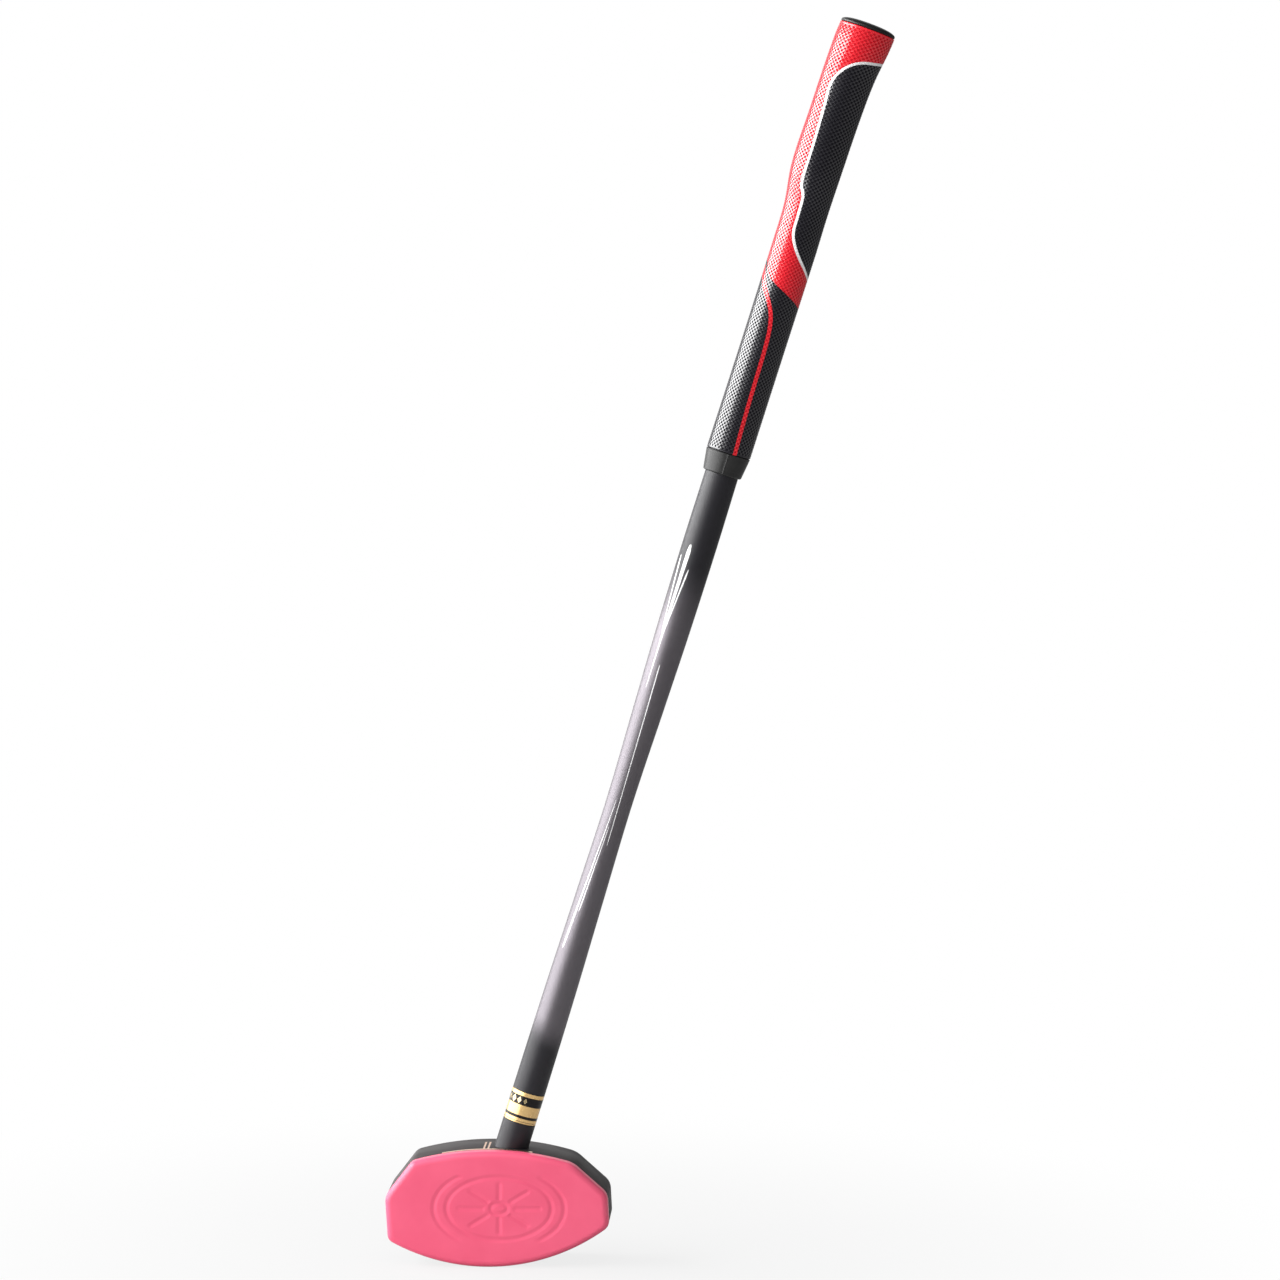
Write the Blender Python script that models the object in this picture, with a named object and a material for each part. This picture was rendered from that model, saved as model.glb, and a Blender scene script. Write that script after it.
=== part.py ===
"""A ground golf club: wooden head with a urethane face, tubular shaft, moulded grip.

Lengths are in metres and +Z is up. The club stands in its address pose: the middle of the sole is
at the origin, the face looks along -Y, and the shaft leans towards +X, where the player stands.
Everything on the shaft is modelled upright along its own axis, which starts where that axis meets
the ground, and is leaned over by the empty that it is parented to. A height on the shaft is
measured along that axis.
"""
import math

import bmesh
import bpy
from mathutils import Vector

# Overall
CLUB_LENGTH = 0.8415
LEAN = math.radians(17.3)
SHAFT_FOOT_X = -0.0088
CLEARANCE = 0.0003

# Head outline, seen from the front. The sole and the crown are arcs. The toe and the heel have two
# straight sides each, which meet at the middle corner. Each corner is cut back on both sides and
# rounded over that length.
SOLE_RADIUS = 0.130
CROWN_RADIUS = 0.186
CROWN_APEX = (0.0021, 0.0756)
TOE_LOW_X = -0.0646
TOE_MID = (-0.0664, 0.0458)
TOE_TOP_X = -0.0488
HEEL_TOP_X = 0.0558
HEEL_MID = (0.0782, 0.0478)
HEEL_LOW_X = 0.0793
LOW_CORNER_CUT = 0.0033
MID_CORNER_CUT = 0.0044
HEEL_TOP_CUT = 0.0040
TOE_TOP_CUT = 0.0026

# Head in depth, measured from the shaft's axis
FACE_FRONT = 0.0260
FACE_THICKNESS = 0.0100
FACE_EDGE_RADIUS = 0.0040
HEAD_BACK = 0.0272
BACK_EDGE_RADIUS = 0.0030

# Relief on the face: an oval ring with spokes, between two outer arcs
RELIEF_CENTRE = (0.0080, 0.0388)
RING_HALF_SIZE = (0.0342, 0.0205)
ARC_HALF_SIZE = (0.0425, 0.0262)
ARC_HALF_ANGLE = math.radians(50)
HUB_HALF_SIZE = (0.0052, 0.0036)
SPOKE_COUNT = 8
SPOKE_START = 0.32
SPOKE_END = 0.76
GROOVE_RADIUS = 0.0024
GROOVE_DEPTH = 0.0004

# Dowels between the face plate and the block: x and z of each
DOWEL_PLACES = ((-0.044, 0.026), (-0.041, 0.057), (0.057, 0.030), (0.048, 0.060))
DOWEL_RADIUS = 0.0030
DOWEL_IN_FACE = 0.0050
DOWEL_IN_BLOCK = 0.0090
DOWEL_CHAMFER = 0.0006

# Sole plate, its screws and the weight that it covers
PLATE_WIDTH = 0.040
PLATE_DEPTH = 0.034
PLATE_THICKNESS = 0.0025
PLATE_CORNER_RADIUS = 0.005
PLATE_CHAMFER = 0.0008
PLATE_CENTRE_Y = 0.0070
SCREW_INSET = 0.0058
SCREW_HEAD_RADIUS = 0.0031
SCREW_HEAD_HEIGHT = 0.0017
SCREW_SHANK_RADIUS = 0.0014
SCREW_LENGTH = 0.0130
SCREW_SINK = 0.0002
SCREW_CROSS_LENGTH = 0.0034
SCREW_CROSS_WIDTH = 0.0008
SCREW_CROSS_DEPTH = 0.0009
WEIGHT_RADIUS = 0.0080
WEIGHT_HEIGHT = 0.0080

# Shaft: height and outer radius of each station between the head and the grip
SHAFT_END = 0.0200
TIP_RADIUS = 0.01075
SHAFT_STATIONS = (
    (0.1160, TIP_RADIUS),
    (0.1850, 0.01035),
    (0.2500, 0.00940),
    (0.3160, 0.00860),
    (0.3850, 0.00990),
    (0.4350, 0.01085),
    (0.4900, 0.01120),
)
COLLAR_SEAT_RADIUS = 0.01095
BUTT_RADIUS = 0.0100
SHAFT_WALL = 0.0015
TIP_PLUG_LENGTH = 0.055
PIN_HEIGHT = 0.0450
PIN_RADIUS = 0.0020
PIN_OVERHANG = 0.0035

# Foil band round the shaft
BAND_BOTTOM = 0.0964
BAND_WIDTH = 0.0207
BAND_THICKNESS = 0.0003

# Grip: each station is the distance below the top of the skin, the outer radius, and how far the
# section's centre lies off the shaft's axis towards +X. The skin steps out within WRAP_STEP below
# its top, and its rows lie close together above that.
GRIP_LENGTH = 0.2990
WRAP_STATIONS = (
    (0.2170, 0.01450, 0.0006),
    (0.1480, 0.01465, 0.0010),
    (0.1210, 0.01470, 0.0008),
    (0.0950, 0.01650, -0.0005),
    (0.0570, 0.01665, 0.0003),
    (0.0310, 0.01720, 0.0013),
    (0.0090, 0.01835, 0.0033),
    (0.0000, 0.01835, 0.0042),
)
WRAP_FOOT_RADIUS = 0.01465
WRAP_STEP = (0.125, 0.117)
WRAP_THICKNESS = 0.0016
TAPE_THICKNESS = 0.0004
TOP_TILT = math.tan(math.radians(2.8))
TILT_LENGTH = 0.050

# Collar below the skin
COLLAR_LENGTH = 0.0142
COLLAR_FOOT_RADIUS = 0.01285
COLLAR_EDGE_RADIUS = 0.0012
COLLAR_SPIGOT_LENGTH = 0.0060

# Cap above the skin
CAP_RADIUS = 0.0181
CAP_OFFSET = 0.0042
CAP_FULLNESS = 0.6
CAP_RIM = 0.0010
CAP_STEM_LENGTH = 0.022
CAP_HEIGHT = 0.0043

# Heights that follow from these sizes
WRAP_TOP = CLUB_LENGTH - CAP_HEIGHT
COLLAR_BOTTOM = WRAP_TOP - GRIP_LENGTH
COLLAR_TOP = COLLAR_BOTTOM + COLLAR_LENGTH
WRAP_BOTTOM = COLLAR_TOP + CLEARANCE
SPIGOT_TOP = COLLAR_TOP + COLLAR_SPIGOT_LENGTH
SLEEVE_BOTTOM = SPIGOT_TOP + CLEARANCE
SHAFT_TOP = WRAP_TOP - 2 * TOP_TILT * BUTT_RADIUS
TAPE_RADIUS = BUTT_RADIUS + CLEARANCE + TAPE_THICKNESS
SLEEVE_BORE = TAPE_RADIUS + CLEARANCE

# How far a cutter stands out of the surface that it cuts
CUTTER_REACH = 0.002

# Facets
ROUND_SIDES = 36
SMALL_SIDES = 16


def clear_scene():
    for old in list(bpy.data.objects):
        bpy.data.objects.remove(old, do_unlink=True)


def make_material(name, colour, roughness, metallic=0.0):
    material = bpy.data.materials.new(name)
    material.use_nodes = True
    shader = material.node_tree.nodes["Principled BSDF"]
    shader.inputs["Base Color"].default_value = (*colour, 1.0)
    shader.inputs["Roughness"].default_value = roughness
    shader.inputs["Metallic"].default_value = metallic
    return material


def add_object(name, bm, material=None, parent=None):
    """Turn a bmesh into an object with outward faces and smooth round sides."""
    bmesh.ops.recalc_face_normals(bm, faces=bm.faces[:])
    mesh = bpy.data.meshes.new(name)
    bm.to_mesh(mesh)
    bm.free()
    mesh.shade_smooth()
    mesh.set_sharp_from_angle(angle=math.radians(35))
    if material:
        mesh.materials.append(material)
    thing = bpy.data.objects.new(name, mesh)
    bpy.context.scene.collection.objects.link(thing)
    thing.parent = parent
    return thing


def cut(target, name, bm, parent=None):
    """Subtract a bmesh from an object with a Boolean modifier and a hidden cutter."""
    cutter = add_object(name, bm, parent=parent)
    cutter.hide_render = True
    cutter.display_type = "WIRE"
    modifier = target.modifiers.new(name, "BOOLEAN")
    modifier.operation = "DIFFERENCE"
    modifier.solver = "EXACT"
    modifier.object = cutter


def skin_rings(bm, rings, hollow=False):
    """Join a run of equal rings. A hollow run closes on itself, and a solid one gets two caps."""
    loops = [[bm.verts.new(point) for point in ring] for ring in rings]
    pairs = list(zip(loops, loops[1:]))
    if hollow:
        pairs.append((loops[-1], loops[0]))
    else:
        bm.faces.new(reversed(loops[0]))
        bm.faces.new(loops[-1])
    count = len(loops[0])
    for low, high in pairs:
        for i in range(count):
            j = (i + 1) % count
            bm.faces.new((low[i], low[j], high[j], high[i]))


def ring(height, radius, offset=0.0, tilt=0.0, sides=ROUND_SIDES):
    """A circle across the shaft's axis. With a tilt it lies in a plane that falls towards +X."""
    points = []
    for i in range(sides):
        turn = math.tau * i / sides
        x = offset + radius * math.cos(turn)
        points.append(Vector((x, radius * math.sin(turn), height - tilt * x)))
    return points


def turned(rows, hollow=False, sides=ROUND_SIDES):
    """A bmesh from rows of height and radius, and of offset and tilt where a row has them."""
    bm = bmesh.new()
    skin_rings(bm, [ring(*row, sides=sides) for row in rows], hollow)
    return bm


def pin_along_y(x, z, radius, front, back, chamfer=0.0, sides=SMALL_SIDES):
    """A round bar that runs along Y at x, z, with chamfered ends."""
    rows = [(front, radius), (back, radius)]
    if chamfer:
        rows = [(front, radius - chamfer), (front + chamfer, radius),
                (back - chamfer, radius), (back, radius - chamfer)]
    bm = bmesh.new()
    rings = []
    for y, size in rows:
        turns = [math.tau * i / sides for i in range(sides)]
        rings.append([Vector((x + size * math.cos(a), y, z + size * math.sin(a))) for a in turns])
    skin_rings(bm, rings)
    return bm


def smooth_through(stations, value):
    """Read a smooth curve through rising stations, whose first number is the place on the curve."""
    def slope(index, channel):
        low = stations[max(index - 1, 0)]
        high = stations[min(index + 1, len(stations) - 1)]
        return (high[channel] - low[channel]) / (high[0] - low[0])

    index = 0
    while index < len(stations) - 2 and value > stations[index + 1][0]:
        index += 1
    start, end = stations[index], stations[index + 1]
    span = end[0] - start[0]
    t = (value - start[0]) / span
    result = []
    for channel in range(1, len(start)):
        result.append((2 * t**3 - 3 * t**2 + 1) * start[channel]
                      + (t**3 - 2 * t**2 + t) * span * slope(index, channel)
                      + (3 * t**2 - 2 * t**3) * end[channel]
                      + (t**3 - t**2) * span * slope(index + 1, channel))
    return result


def spread(start, end, steps):
    return [start + (end - start) * i / steps for i in range(steps + 1)]


# Head outline

def sole_height(x):
    return SOLE_RADIUS - math.sqrt(SOLE_RADIUS**2 - x**2)


def crown_height(x):
    drop = CROWN_RADIUS - math.sqrt(CROWN_RADIUS**2 - (x - CROWN_APEX[0])**2)
    return CROWN_APEX[1] - drop


def head_outline():
    """Points round the head, seen from the front, from the toe's low corner towards the heel."""
    corners = [
        (Vector((TOE_LOW_X, sole_height(TOE_LOW_X))), LOW_CORNER_CUT, sole_height, 22),
        (Vector((HEEL_LOW_X, sole_height(HEEL_LOW_X))), LOW_CORNER_CUT, None, 2),
        (Vector(HEEL_MID), MID_CORNER_CUT, None, 3),
        (Vector((HEEL_TOP_X, crown_height(HEEL_TOP_X))), HEEL_TOP_CUT, crown_height, 16),
        (Vector((TOE_TOP_X, crown_height(TOE_TOP_X))), TOE_TOP_CUT, None, 3),
        (Vector(TOE_MID), MID_CORNER_CUT, None, 2),
    ]
    corner_steps = 4
    sides = []
    for i, (start, cut_start, height, steps) in enumerate(corners):
        end, cut_end = corners[(i + 1) % len(corners)][:2]
        length = (end - start).length
        points = []
        for t in spread(cut_start / length, 1 - cut_end / length, steps):
            point = start.lerp(end, t)
            if height:
                point.y = height(point.x)
            points.append(point)
        sides.append((points, end))
    outline = []
    for i, (points, corner) in enumerate(sides):
        outline += points
        after = sides[(i + 1) % len(sides)][0][0]
        for t in spread(0, 1, corner_steps)[1:-1]:
            before = points[-1]
            outline.append(before.lerp(corner, t).lerp(corner.lerp(after, t), t))
    return outline


def outline_ring(inset, y):
    """The head's outline at depth y, drawn in evenly by inset."""
    outline = head_outline()
    count = len(outline)
    points = []
    for i, point in enumerate(outline):
        along = (outline[(i + 1) % count] - outline[i - 1]).normalized()
        points.append(Vector((point.x - along.y * inset, y, point.y + along.x * inset)))
    return points


def rounded_edge(y_flat, direction, radius, steps):
    """Rings that turn from a flat face at y_flat into the sides, over a rounded edge."""
    rings = []
    for turn in spread(0, math.pi / 2, steps):
        inset = radius * (1 - math.sin(turn))
        depth = radius * (1 - math.cos(turn))
        rings.append(outline_ring(inset, y_flat + direction * depth))
    return rings


# Cutters for the face relief

def oval_points(half_size, start, end, steps):
    centre_x, centre_z = RELIEF_CENTRE
    return [Vector((centre_x + half_size[0] * math.cos(turn), centre_z + half_size[1] * math.sin(turn)))
            for turn in spread(start, end, steps)]


def add_groove(bm, path, closed=False):
    """A bar along a path in front of the face, with its flat side sunk in by the groove's depth."""
    sides = 8
    corner_radius = GROOVE_RADIUS / math.cos(math.pi / sides)
    y = -FACE_FRONT - GROOVE_RADIUS + GROOVE_DEPTH
    rings = []
    for i, point in enumerate(path):
        before = path[i - 1] if i or closed else path[0]
        after = path[(i + 1) % len(path)] if i + 1 < len(path) or closed else path[-1]
        along = (after - before).normalized()
        across = Vector((along.y, -along.x))
        points = []
        for k in range(sides):
            turn = math.tau * (k + 0.5) / sides
            side = across * corner_radius * math.cos(turn)
            points.append(Vector((point.x + side.x, y + corner_radius * math.sin(turn), point.y + side.y)))
        rings.append(points)
    skin_rings(bm, rings, hollow=closed)


def relief_cutter():
    bm = bmesh.new()
    add_groove(bm, oval_points(RING_HALF_SIZE, 0, math.tau, 56)[:-1], closed=True)
    add_groove(bm, oval_points(HUB_HALF_SIZE, 0, math.tau, 20)[:-1], closed=True)
    for middle in (0, math.pi):
        add_groove(bm, oval_points(ARC_HALF_SIZE, middle - ARC_HALF_ANGLE, middle + ARC_HALF_ANGLE, 18))
    for i in range(SPOKE_COUNT):
        turn = math.tau * i / SPOKE_COUNT
        reach = [Vector((RING_HALF_SIZE[0] * math.cos(turn), RING_HALF_SIZE[1] * math.sin(turn))) * share
                 for share in (SPOKE_START, SPOKE_END)]
        add_groove(bm, [Vector(RELIEF_CENTRE) + end for end in reach])
    return bm


# Sole plate outline and screws

def plate_ring(grow, z):
    """The sole plate's rounded rectangle at height z, grown on all sides."""
    corner_steps = 4
    radius = PLATE_CORNER_RADIUS + grow
    points = []
    for quarter, (sign_x, sign_y) in enumerate(((1, 1), (-1, 1), (-1, -1), (1, -1))):
        centre_x = sign_x * (PLATE_WIDTH / 2 - PLATE_CORNER_RADIUS)
        centre_y = PLATE_CENTRE_Y + sign_y * (PLATE_DEPTH / 2 - PLATE_CORNER_RADIUS)
        for turn in spread(quarter * math.pi / 2, (quarter + 1) * math.pi / 2, corner_steps):
            points.append(Vector((centre_x + radius * math.cos(turn), centre_y + radius * math.sin(turn), z)))
    return points


def screw_places():
    reach_x = PLATE_WIDTH / 2 - SCREW_INSET
    reach_y = PLATE_DEPTH / 2 - SCREW_INSET
    return [(sign_x * reach_x, PLATE_CENTRE_Y + sign_y * reach_y)
            for sign_x in (-1, 1) for sign_y in (-1, 1)]


def at_place(bm, place):
    bmesh.ops.translate(bm, verts=bm.verts[:], vec=(place[0], place[1], 0))
    return bm


def screw_cutter(place, gap):
    """The room that a screw takes up in the plate and the block, from below the sole."""
    rows = [
        (-CUTTER_REACH, SCREW_HEAD_RADIUS + gap),
        (SCREW_SINK, SCREW_HEAD_RADIUS + gap),
        (SCREW_SINK + SCREW_HEAD_HEIGHT, SCREW_SHANK_RADIUS + gap),
        (SCREW_LENGTH + gap, SCREW_SHANK_RADIUS + gap),
    ]
    return at_place(turned(rows, sides=SMALL_SIDES), place)


def cross_cutter(place, length, width):
    bm = bmesh.new()
    bmesh.ops.create_cube(bm, size=1.0)
    bmesh.ops.scale(bm, verts=bm.verts[:], vec=(length, width, 2 * SCREW_CROSS_DEPTH))
    bmesh.ops.translate(bm, verts=bm.verts[:], vec=(place[0], place[1], SCREW_SINK))
    return bm


# Shaft and grip shapes

def shaft_profile():
    """Outer radius of the shaft at rising heights, from its lower end to its top."""
    stations = ((SHAFT_END, TIP_RADIUS), *SHAFT_STATIONS, (COLLAR_BOTTOM, COLLAR_SEAT_RADIUS))
    return stations


def shaft_radius(height):
    return smooth_through(shaft_profile(), height)[0]


def wrap_stations():
    """Height, radius, offset and tilt of the skin's stations, from the bottom up."""
    rows = [(WRAP_BOTTOM, WRAP_FOOT_RADIUS, 0.0)]
    rows += [(WRAP_TOP - below, radius, offset) for below, radius, offset in WRAP_STATIONS]
    return rows


def wrap_row(height, draw_in):
    """One ring of the skin, or of a surface that lies draw_in below it."""
    radius, offset = smooth_through(wrap_stations(), height)
    near_top = max(0.0, 1 - (WRAP_TOP - height) / TILT_LENGTH)
    return (height, radius - draw_in, offset, TOP_TILT * near_top**2)


def build_head(leaning, wood, urethane, brass, steel):
    block_front = -FACE_FRONT + FACE_THICKNESS + CLEARANCE
    face_back = -FACE_FRONT + FACE_THICKNESS

    bm = bmesh.new()
    skin_rings(bm, rounded_edge(-FACE_FRONT, 1, FACE_EDGE_RADIUS, 4) + [outline_ring(0, face_back)])
    face = add_object("face_plate", bm, urethane)
    cut(face, "relief_cutter", relief_cutter())

    bm = bmesh.new()
    back_edge = rounded_edge(HEAD_BACK, -1, BACK_EDGE_RADIUS, 3)
    skin_rings(bm, [outline_ring(0, block_front)] + back_edge[::-1])
    block = add_object("head_body", bm, wood)

    for i, (x, z) in enumerate(DOWEL_PLACES, start=1):
        front = face_back - DOWEL_IN_FACE
        back = block_front + DOWEL_IN_BLOCK
        dowel = pin_along_y(x, z, DOWEL_RADIUS, front, back, DOWEL_CHAMFER)
        add_object(f"face_dowel_{i}", dowel, wood)
        socket = (x, z, DOWEL_RADIUS + CLEARANCE, front - CLEARANCE, back + CLEARANCE)
        cut(face, f"face_socket_{i}", pin_along_y(*socket))
        cut(block, f"block_socket_{i}", pin_along_y(*socket))

    bm = bmesh.new()
    skin_rings(bm, [plate_ring(-PLATE_CHAMFER, 0), plate_ring(0, PLATE_CHAMFER), plate_ring(0, PLATE_THICKNESS)])
    plate = add_object("sole_plate", bm, brass)
    bm = bmesh.new()
    skin_rings(bm, [plate_ring(CLEARANCE, -PLATE_THICKNESS), plate_ring(CLEARANCE, PLATE_THICKNESS + CLEARANCE)])
    cut(block, "plate_recess", bm)

    for i, place in enumerate(screw_places(), start=1):
        rows = [
            (SCREW_SINK, SCREW_HEAD_RADIUS),
            (SCREW_SINK + SCREW_HEAD_HEIGHT, SCREW_SHANK_RADIUS),
            (SCREW_LENGTH - SCREW_SHANK_RADIUS, SCREW_SHANK_RADIUS),
            (SCREW_LENGTH, SCREW_SHANK_RADIUS / 4),
        ]
        screw = add_object(f"sole_screw_{i}", at_place(turned(rows, sides=SMALL_SIDES), place), brass)
        cut(screw, f"cross_long_{i}", cross_cutter(place, SCREW_CROSS_LENGTH, SCREW_CROSS_WIDTH))
        cut(screw, f"cross_wide_{i}", cross_cutter(place, SCREW_CROSS_WIDTH, SCREW_CROSS_LENGTH))
        cut(plate, f"plate_hole_{i}", screw_cutter(place, CLEARANCE))
        cut(block, f"pilot_hole_{i}", screw_cutter(place, CLEARANCE))

    weight_bottom = PLATE_THICKNESS + CLEARANCE
    weight_top = weight_bottom + WEIGHT_HEIGHT
    weight_place = (0.0, PLATE_CENTRE_Y)
    rows = [(weight_bottom, WEIGHT_RADIUS), (weight_top, WEIGHT_RADIUS)]
    add_object("sole_weight", at_place(turned(rows), weight_place), steel)
    rows = [(0.0, WEIGHT_RADIUS + CLEARANCE), (weight_top + CLEARANCE, WEIGHT_RADIUS + CLEARANCE)]
    cut(block, "weight_pocket", at_place(turned(rows), weight_place))

    bore_radius = TIP_RADIUS + CLEARANCE
    bore_top = 2 * CROWN_APEX[1]
    cut(block, "shaft_bore", turned([(SHAFT_END - CLEARANCE, bore_radius), (bore_top, bore_radius)]), leaning)
    pin_back = TIP_RADIUS + PIN_OVERHANG
    hole = pin_along_y(0, PIN_HEIGHT, PIN_RADIUS + CLEARANCE, -FACE_FRONT, pin_back + CLEARANCE)
    cut(block, "pin_hole", hole, leaning)
    pin = pin_along_y(0, PIN_HEIGHT, PIN_RADIUS, -pin_back, pin_back, PIN_RADIUS / 5)
    add_object("shaft_pin", pin, steel, leaning)


def build_shaft(leaning, carbon, foil, wood):
    band_top = BAND_BOTTOM + BAND_WIDTH
    seat_drop = BAND_THICKNESS + CLEARANCE

    outer = [(height, shaft_radius(height)) for height in spread(SHAFT_END, BAND_BOTTOM, 1)]
    outer += [(height, shaft_radius(height) - seat_drop) for height in (BAND_BOTTOM, band_top)]
    outer += [(height, shaft_radius(height)) for height in spread(band_top, COLLAR_BOTTOM, 16)]
    outer += [(COLLAR_TOP, BUTT_RADIUS), (SHAFT_TOP, BUTT_RADIUS)]
    bore = [(height, radius - SHAFT_WALL) for height, radius in shaft_profile()]
    bore += [(COLLAR_TOP, BUTT_RADIUS - SHAFT_WALL), (SHAFT_TOP, BUTT_RADIUS - SHAFT_WALL)]
    tube = add_object("shaft_tube", turned(outer + bore[::-1], hollow=True), carbon, leaning)

    plug_radius = TIP_RADIUS - SHAFT_WALL - CLEARANCE
    rows = [(SHAFT_END, plug_radius), (SHAFT_END + TIP_PLUG_LENGTH, plug_radius)]
    plug = add_object("shaft_tip_plug", turned(rows), wood, leaning)

    pin_room = PIN_RADIUS + CLEARANCE
    for target, name in ((tube, "tube_pin_hole"), (plug, "plug_pin_hole")):
        hole = pin_along_y(0, PIN_HEIGHT, pin_room, -2 * TIP_RADIUS, 2 * TIP_RADIUS)
        cut(target, name, hole, leaning)

    low, high = BAND_BOTTOM + CLEARANCE, band_top - CLEARANCE
    heights = (low, high)
    rows = [(height, shaft_radius(height)) for height in heights]
    rows += [(height, shaft_radius(height) - BAND_THICKNESS) for height in heights[::-1]]
    add_object("foil_band", turned(rows, hollow=True), foil, leaning)


def build_grip(leaning, rubber, foam, fabric, skin):
    step_low, step_high = WRAP_STEP
    heights = spread(WRAP_BOTTOM, WRAP_TOP - step_low, 3)
    heights += spread(WRAP_TOP - step_high, WRAP_TOP, 12)
    outer = [wrap_row(height, 0) for height in heights]
    inner = [wrap_row(height, WRAP_THICKNESS) for height in heights]
    add_object("grip_wrap", turned(outer + inner[::-1], hollow=True), skin, leaning)

    heights = [SLEEVE_BOTTOM] + heights[1:]
    outer = [wrap_row(height, WRAP_THICKNESS + CLEARANCE) for height in heights]
    bore = [(SLEEVE_BOTTOM, SLEEVE_BORE), (WRAP_TOP, SLEEVE_BORE, 0, TOP_TILT)]
    add_object("grip_sleeve", turned(outer + bore[::-1], hollow=True), foam, leaning)

    ends = (SLEEVE_BOTTOM, SHAFT_TOP)
    rows = [(height, TAPE_RADIUS) for height in ends]
    rows += [(height, TAPE_RADIUS - TAPE_THICKNESS) for height in ends[::-1]]
    add_object("grip_tape", turned(rows, hollow=True), fabric, leaning)

    bore_radius = COLLAR_SEAT_RADIUS + CLEARANCE
    spigot_radius = WRAP_FOOT_RADIUS - WRAP_THICKNESS - CLEARANCE
    rows = []
    for turn in spread(0, math.pi / 2, 3):
        rise = COLLAR_EDGE_RADIUS * (1 - math.cos(turn))
        draw_in = COLLAR_EDGE_RADIUS * (1 - math.sin(turn))
        rows.append((COLLAR_BOTTOM + rise, COLLAR_FOOT_RADIUS - draw_in))
    rows += [
        (COLLAR_TOP, WRAP_FOOT_RADIUS),
        (COLLAR_TOP, spigot_radius),
        (SPIGOT_TOP, spigot_radius),
        (SPIGOT_TOP, bore_radius),
        (COLLAR_BOTTOM, bore_radius),
    ]
    add_object("grip_collar", turned(rows, hollow=True), rubber, leaning)

    seat = WRAP_TOP + CLEARANCE
    stem_radius = BUTT_RADIUS - SHAFT_WALL - CLEARANCE
    dome_height = CLUB_LENGTH - seat - CAP_RIM
    rows = [
        (seat - CAP_STEM_LENGTH, stem_radius),
        (seat, stem_radius, 0, TOP_TILT),
        (seat, CAP_RADIUS, CAP_OFFSET, TOP_TILT),
    ]
    for turn in spread(0, math.pi / 2, 6)[:-1]:
        height = seat + CAP_RIM + dome_height * math.sin(turn)
        rows.append((height, CAP_RADIUS * math.cos(turn)**CAP_FULLNESS, CAP_OFFSET, TOP_TILT))
    add_object("butt_cap", turned(rows), rubber, leaning)


def main():
    clear_scene()
    leaning = bpy.data.objects.new("shaft_axis", None)
    bpy.context.scene.collection.objects.link(leaning)
    leaning.location = (SHAFT_FOOT_X, 0, 0)
    leaning.rotation_euler = (0, LEAN, 0)

    wood = make_material("lacquered_wood", (0.045, 0.043, 0.046), 0.45)
    urethane = make_material("pink_urethane", (0.95, 0.13, 0.28), 0.35)
    brass = make_material("brass", (0.72, 0.53, 0.25), 0.35, 1.0)
    steel = make_material("steel", (0.55, 0.55, 0.56), 0.40, 1.0)
    carbon = make_material("satin_shaft", (0.060, 0.058, 0.064), 0.40)
    foil = make_material("gold_foil", (0.80, 0.62, 0.30), 0.25, 1.0)
    rubber = make_material("black_rubber", (0.035, 0.035, 0.038), 0.60)
    foam = make_material("foam_rubber", (0.12, 0.12, 0.12), 0.90)
    fabric = make_material("tape_fabric", (0.75, 0.72, 0.62), 0.95)
    skin = make_material("grip_skin", (0.75, 0.04, 0.05), 0.30)

    build_head(leaning, wood, urethane, brass, steel)
    build_shaft(leaning, carbon, foil, wood)
    build_grip(leaning, rubber, foam, fabric, skin)


main()
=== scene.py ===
"""The looks of a ground golf club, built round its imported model.

Lengths are in metres and +Z is up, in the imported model's own frame: the middle of the sole is at
the origin, the face looks along -Y, and the shaft leans towards +X. A place on the shaft or the
grip is a height along the shaft's axis and an angle round it. Angle 0 looks towards +X, and -90
degrees looks towards the striking face.
"""
from functools import reduce
from math import cos, pi, radians, sin, sqrt, tan, tau

import bmesh
import bpy
import numpy as np
from mathutils import Matrix, Vector


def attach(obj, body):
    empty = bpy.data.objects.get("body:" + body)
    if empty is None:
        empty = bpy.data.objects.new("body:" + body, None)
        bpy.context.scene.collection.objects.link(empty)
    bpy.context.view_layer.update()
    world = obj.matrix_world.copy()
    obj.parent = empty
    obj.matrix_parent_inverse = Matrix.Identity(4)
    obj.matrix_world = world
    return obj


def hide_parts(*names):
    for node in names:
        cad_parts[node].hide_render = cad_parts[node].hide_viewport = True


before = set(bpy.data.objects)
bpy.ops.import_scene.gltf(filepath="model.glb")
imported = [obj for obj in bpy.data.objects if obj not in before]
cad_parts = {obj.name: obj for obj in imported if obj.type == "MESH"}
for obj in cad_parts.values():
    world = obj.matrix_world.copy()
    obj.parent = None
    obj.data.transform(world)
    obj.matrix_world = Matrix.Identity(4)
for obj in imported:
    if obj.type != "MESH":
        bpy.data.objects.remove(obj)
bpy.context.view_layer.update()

# Camera of the photograph
CAMERA_PLACE = (0.21155, -2.99584, 0.61999)
CAMERA_TARGET = (0.09844, 0.0, 0.40648)
CAMERA_LENS = 130.68

# Shaft's axis and lengths along it
CLUB_LENGTH = 0.8415
LEAN = radians(17.3)
SHAFT_FOOT_X = -0.0088
CLEARANCE = 0.0003
SHAFT_FRAME = Matrix.Translation((SHAFT_FOOT_X, 0, 0)) @ Matrix.Rotation(LEAN, 4, "Y")

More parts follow.
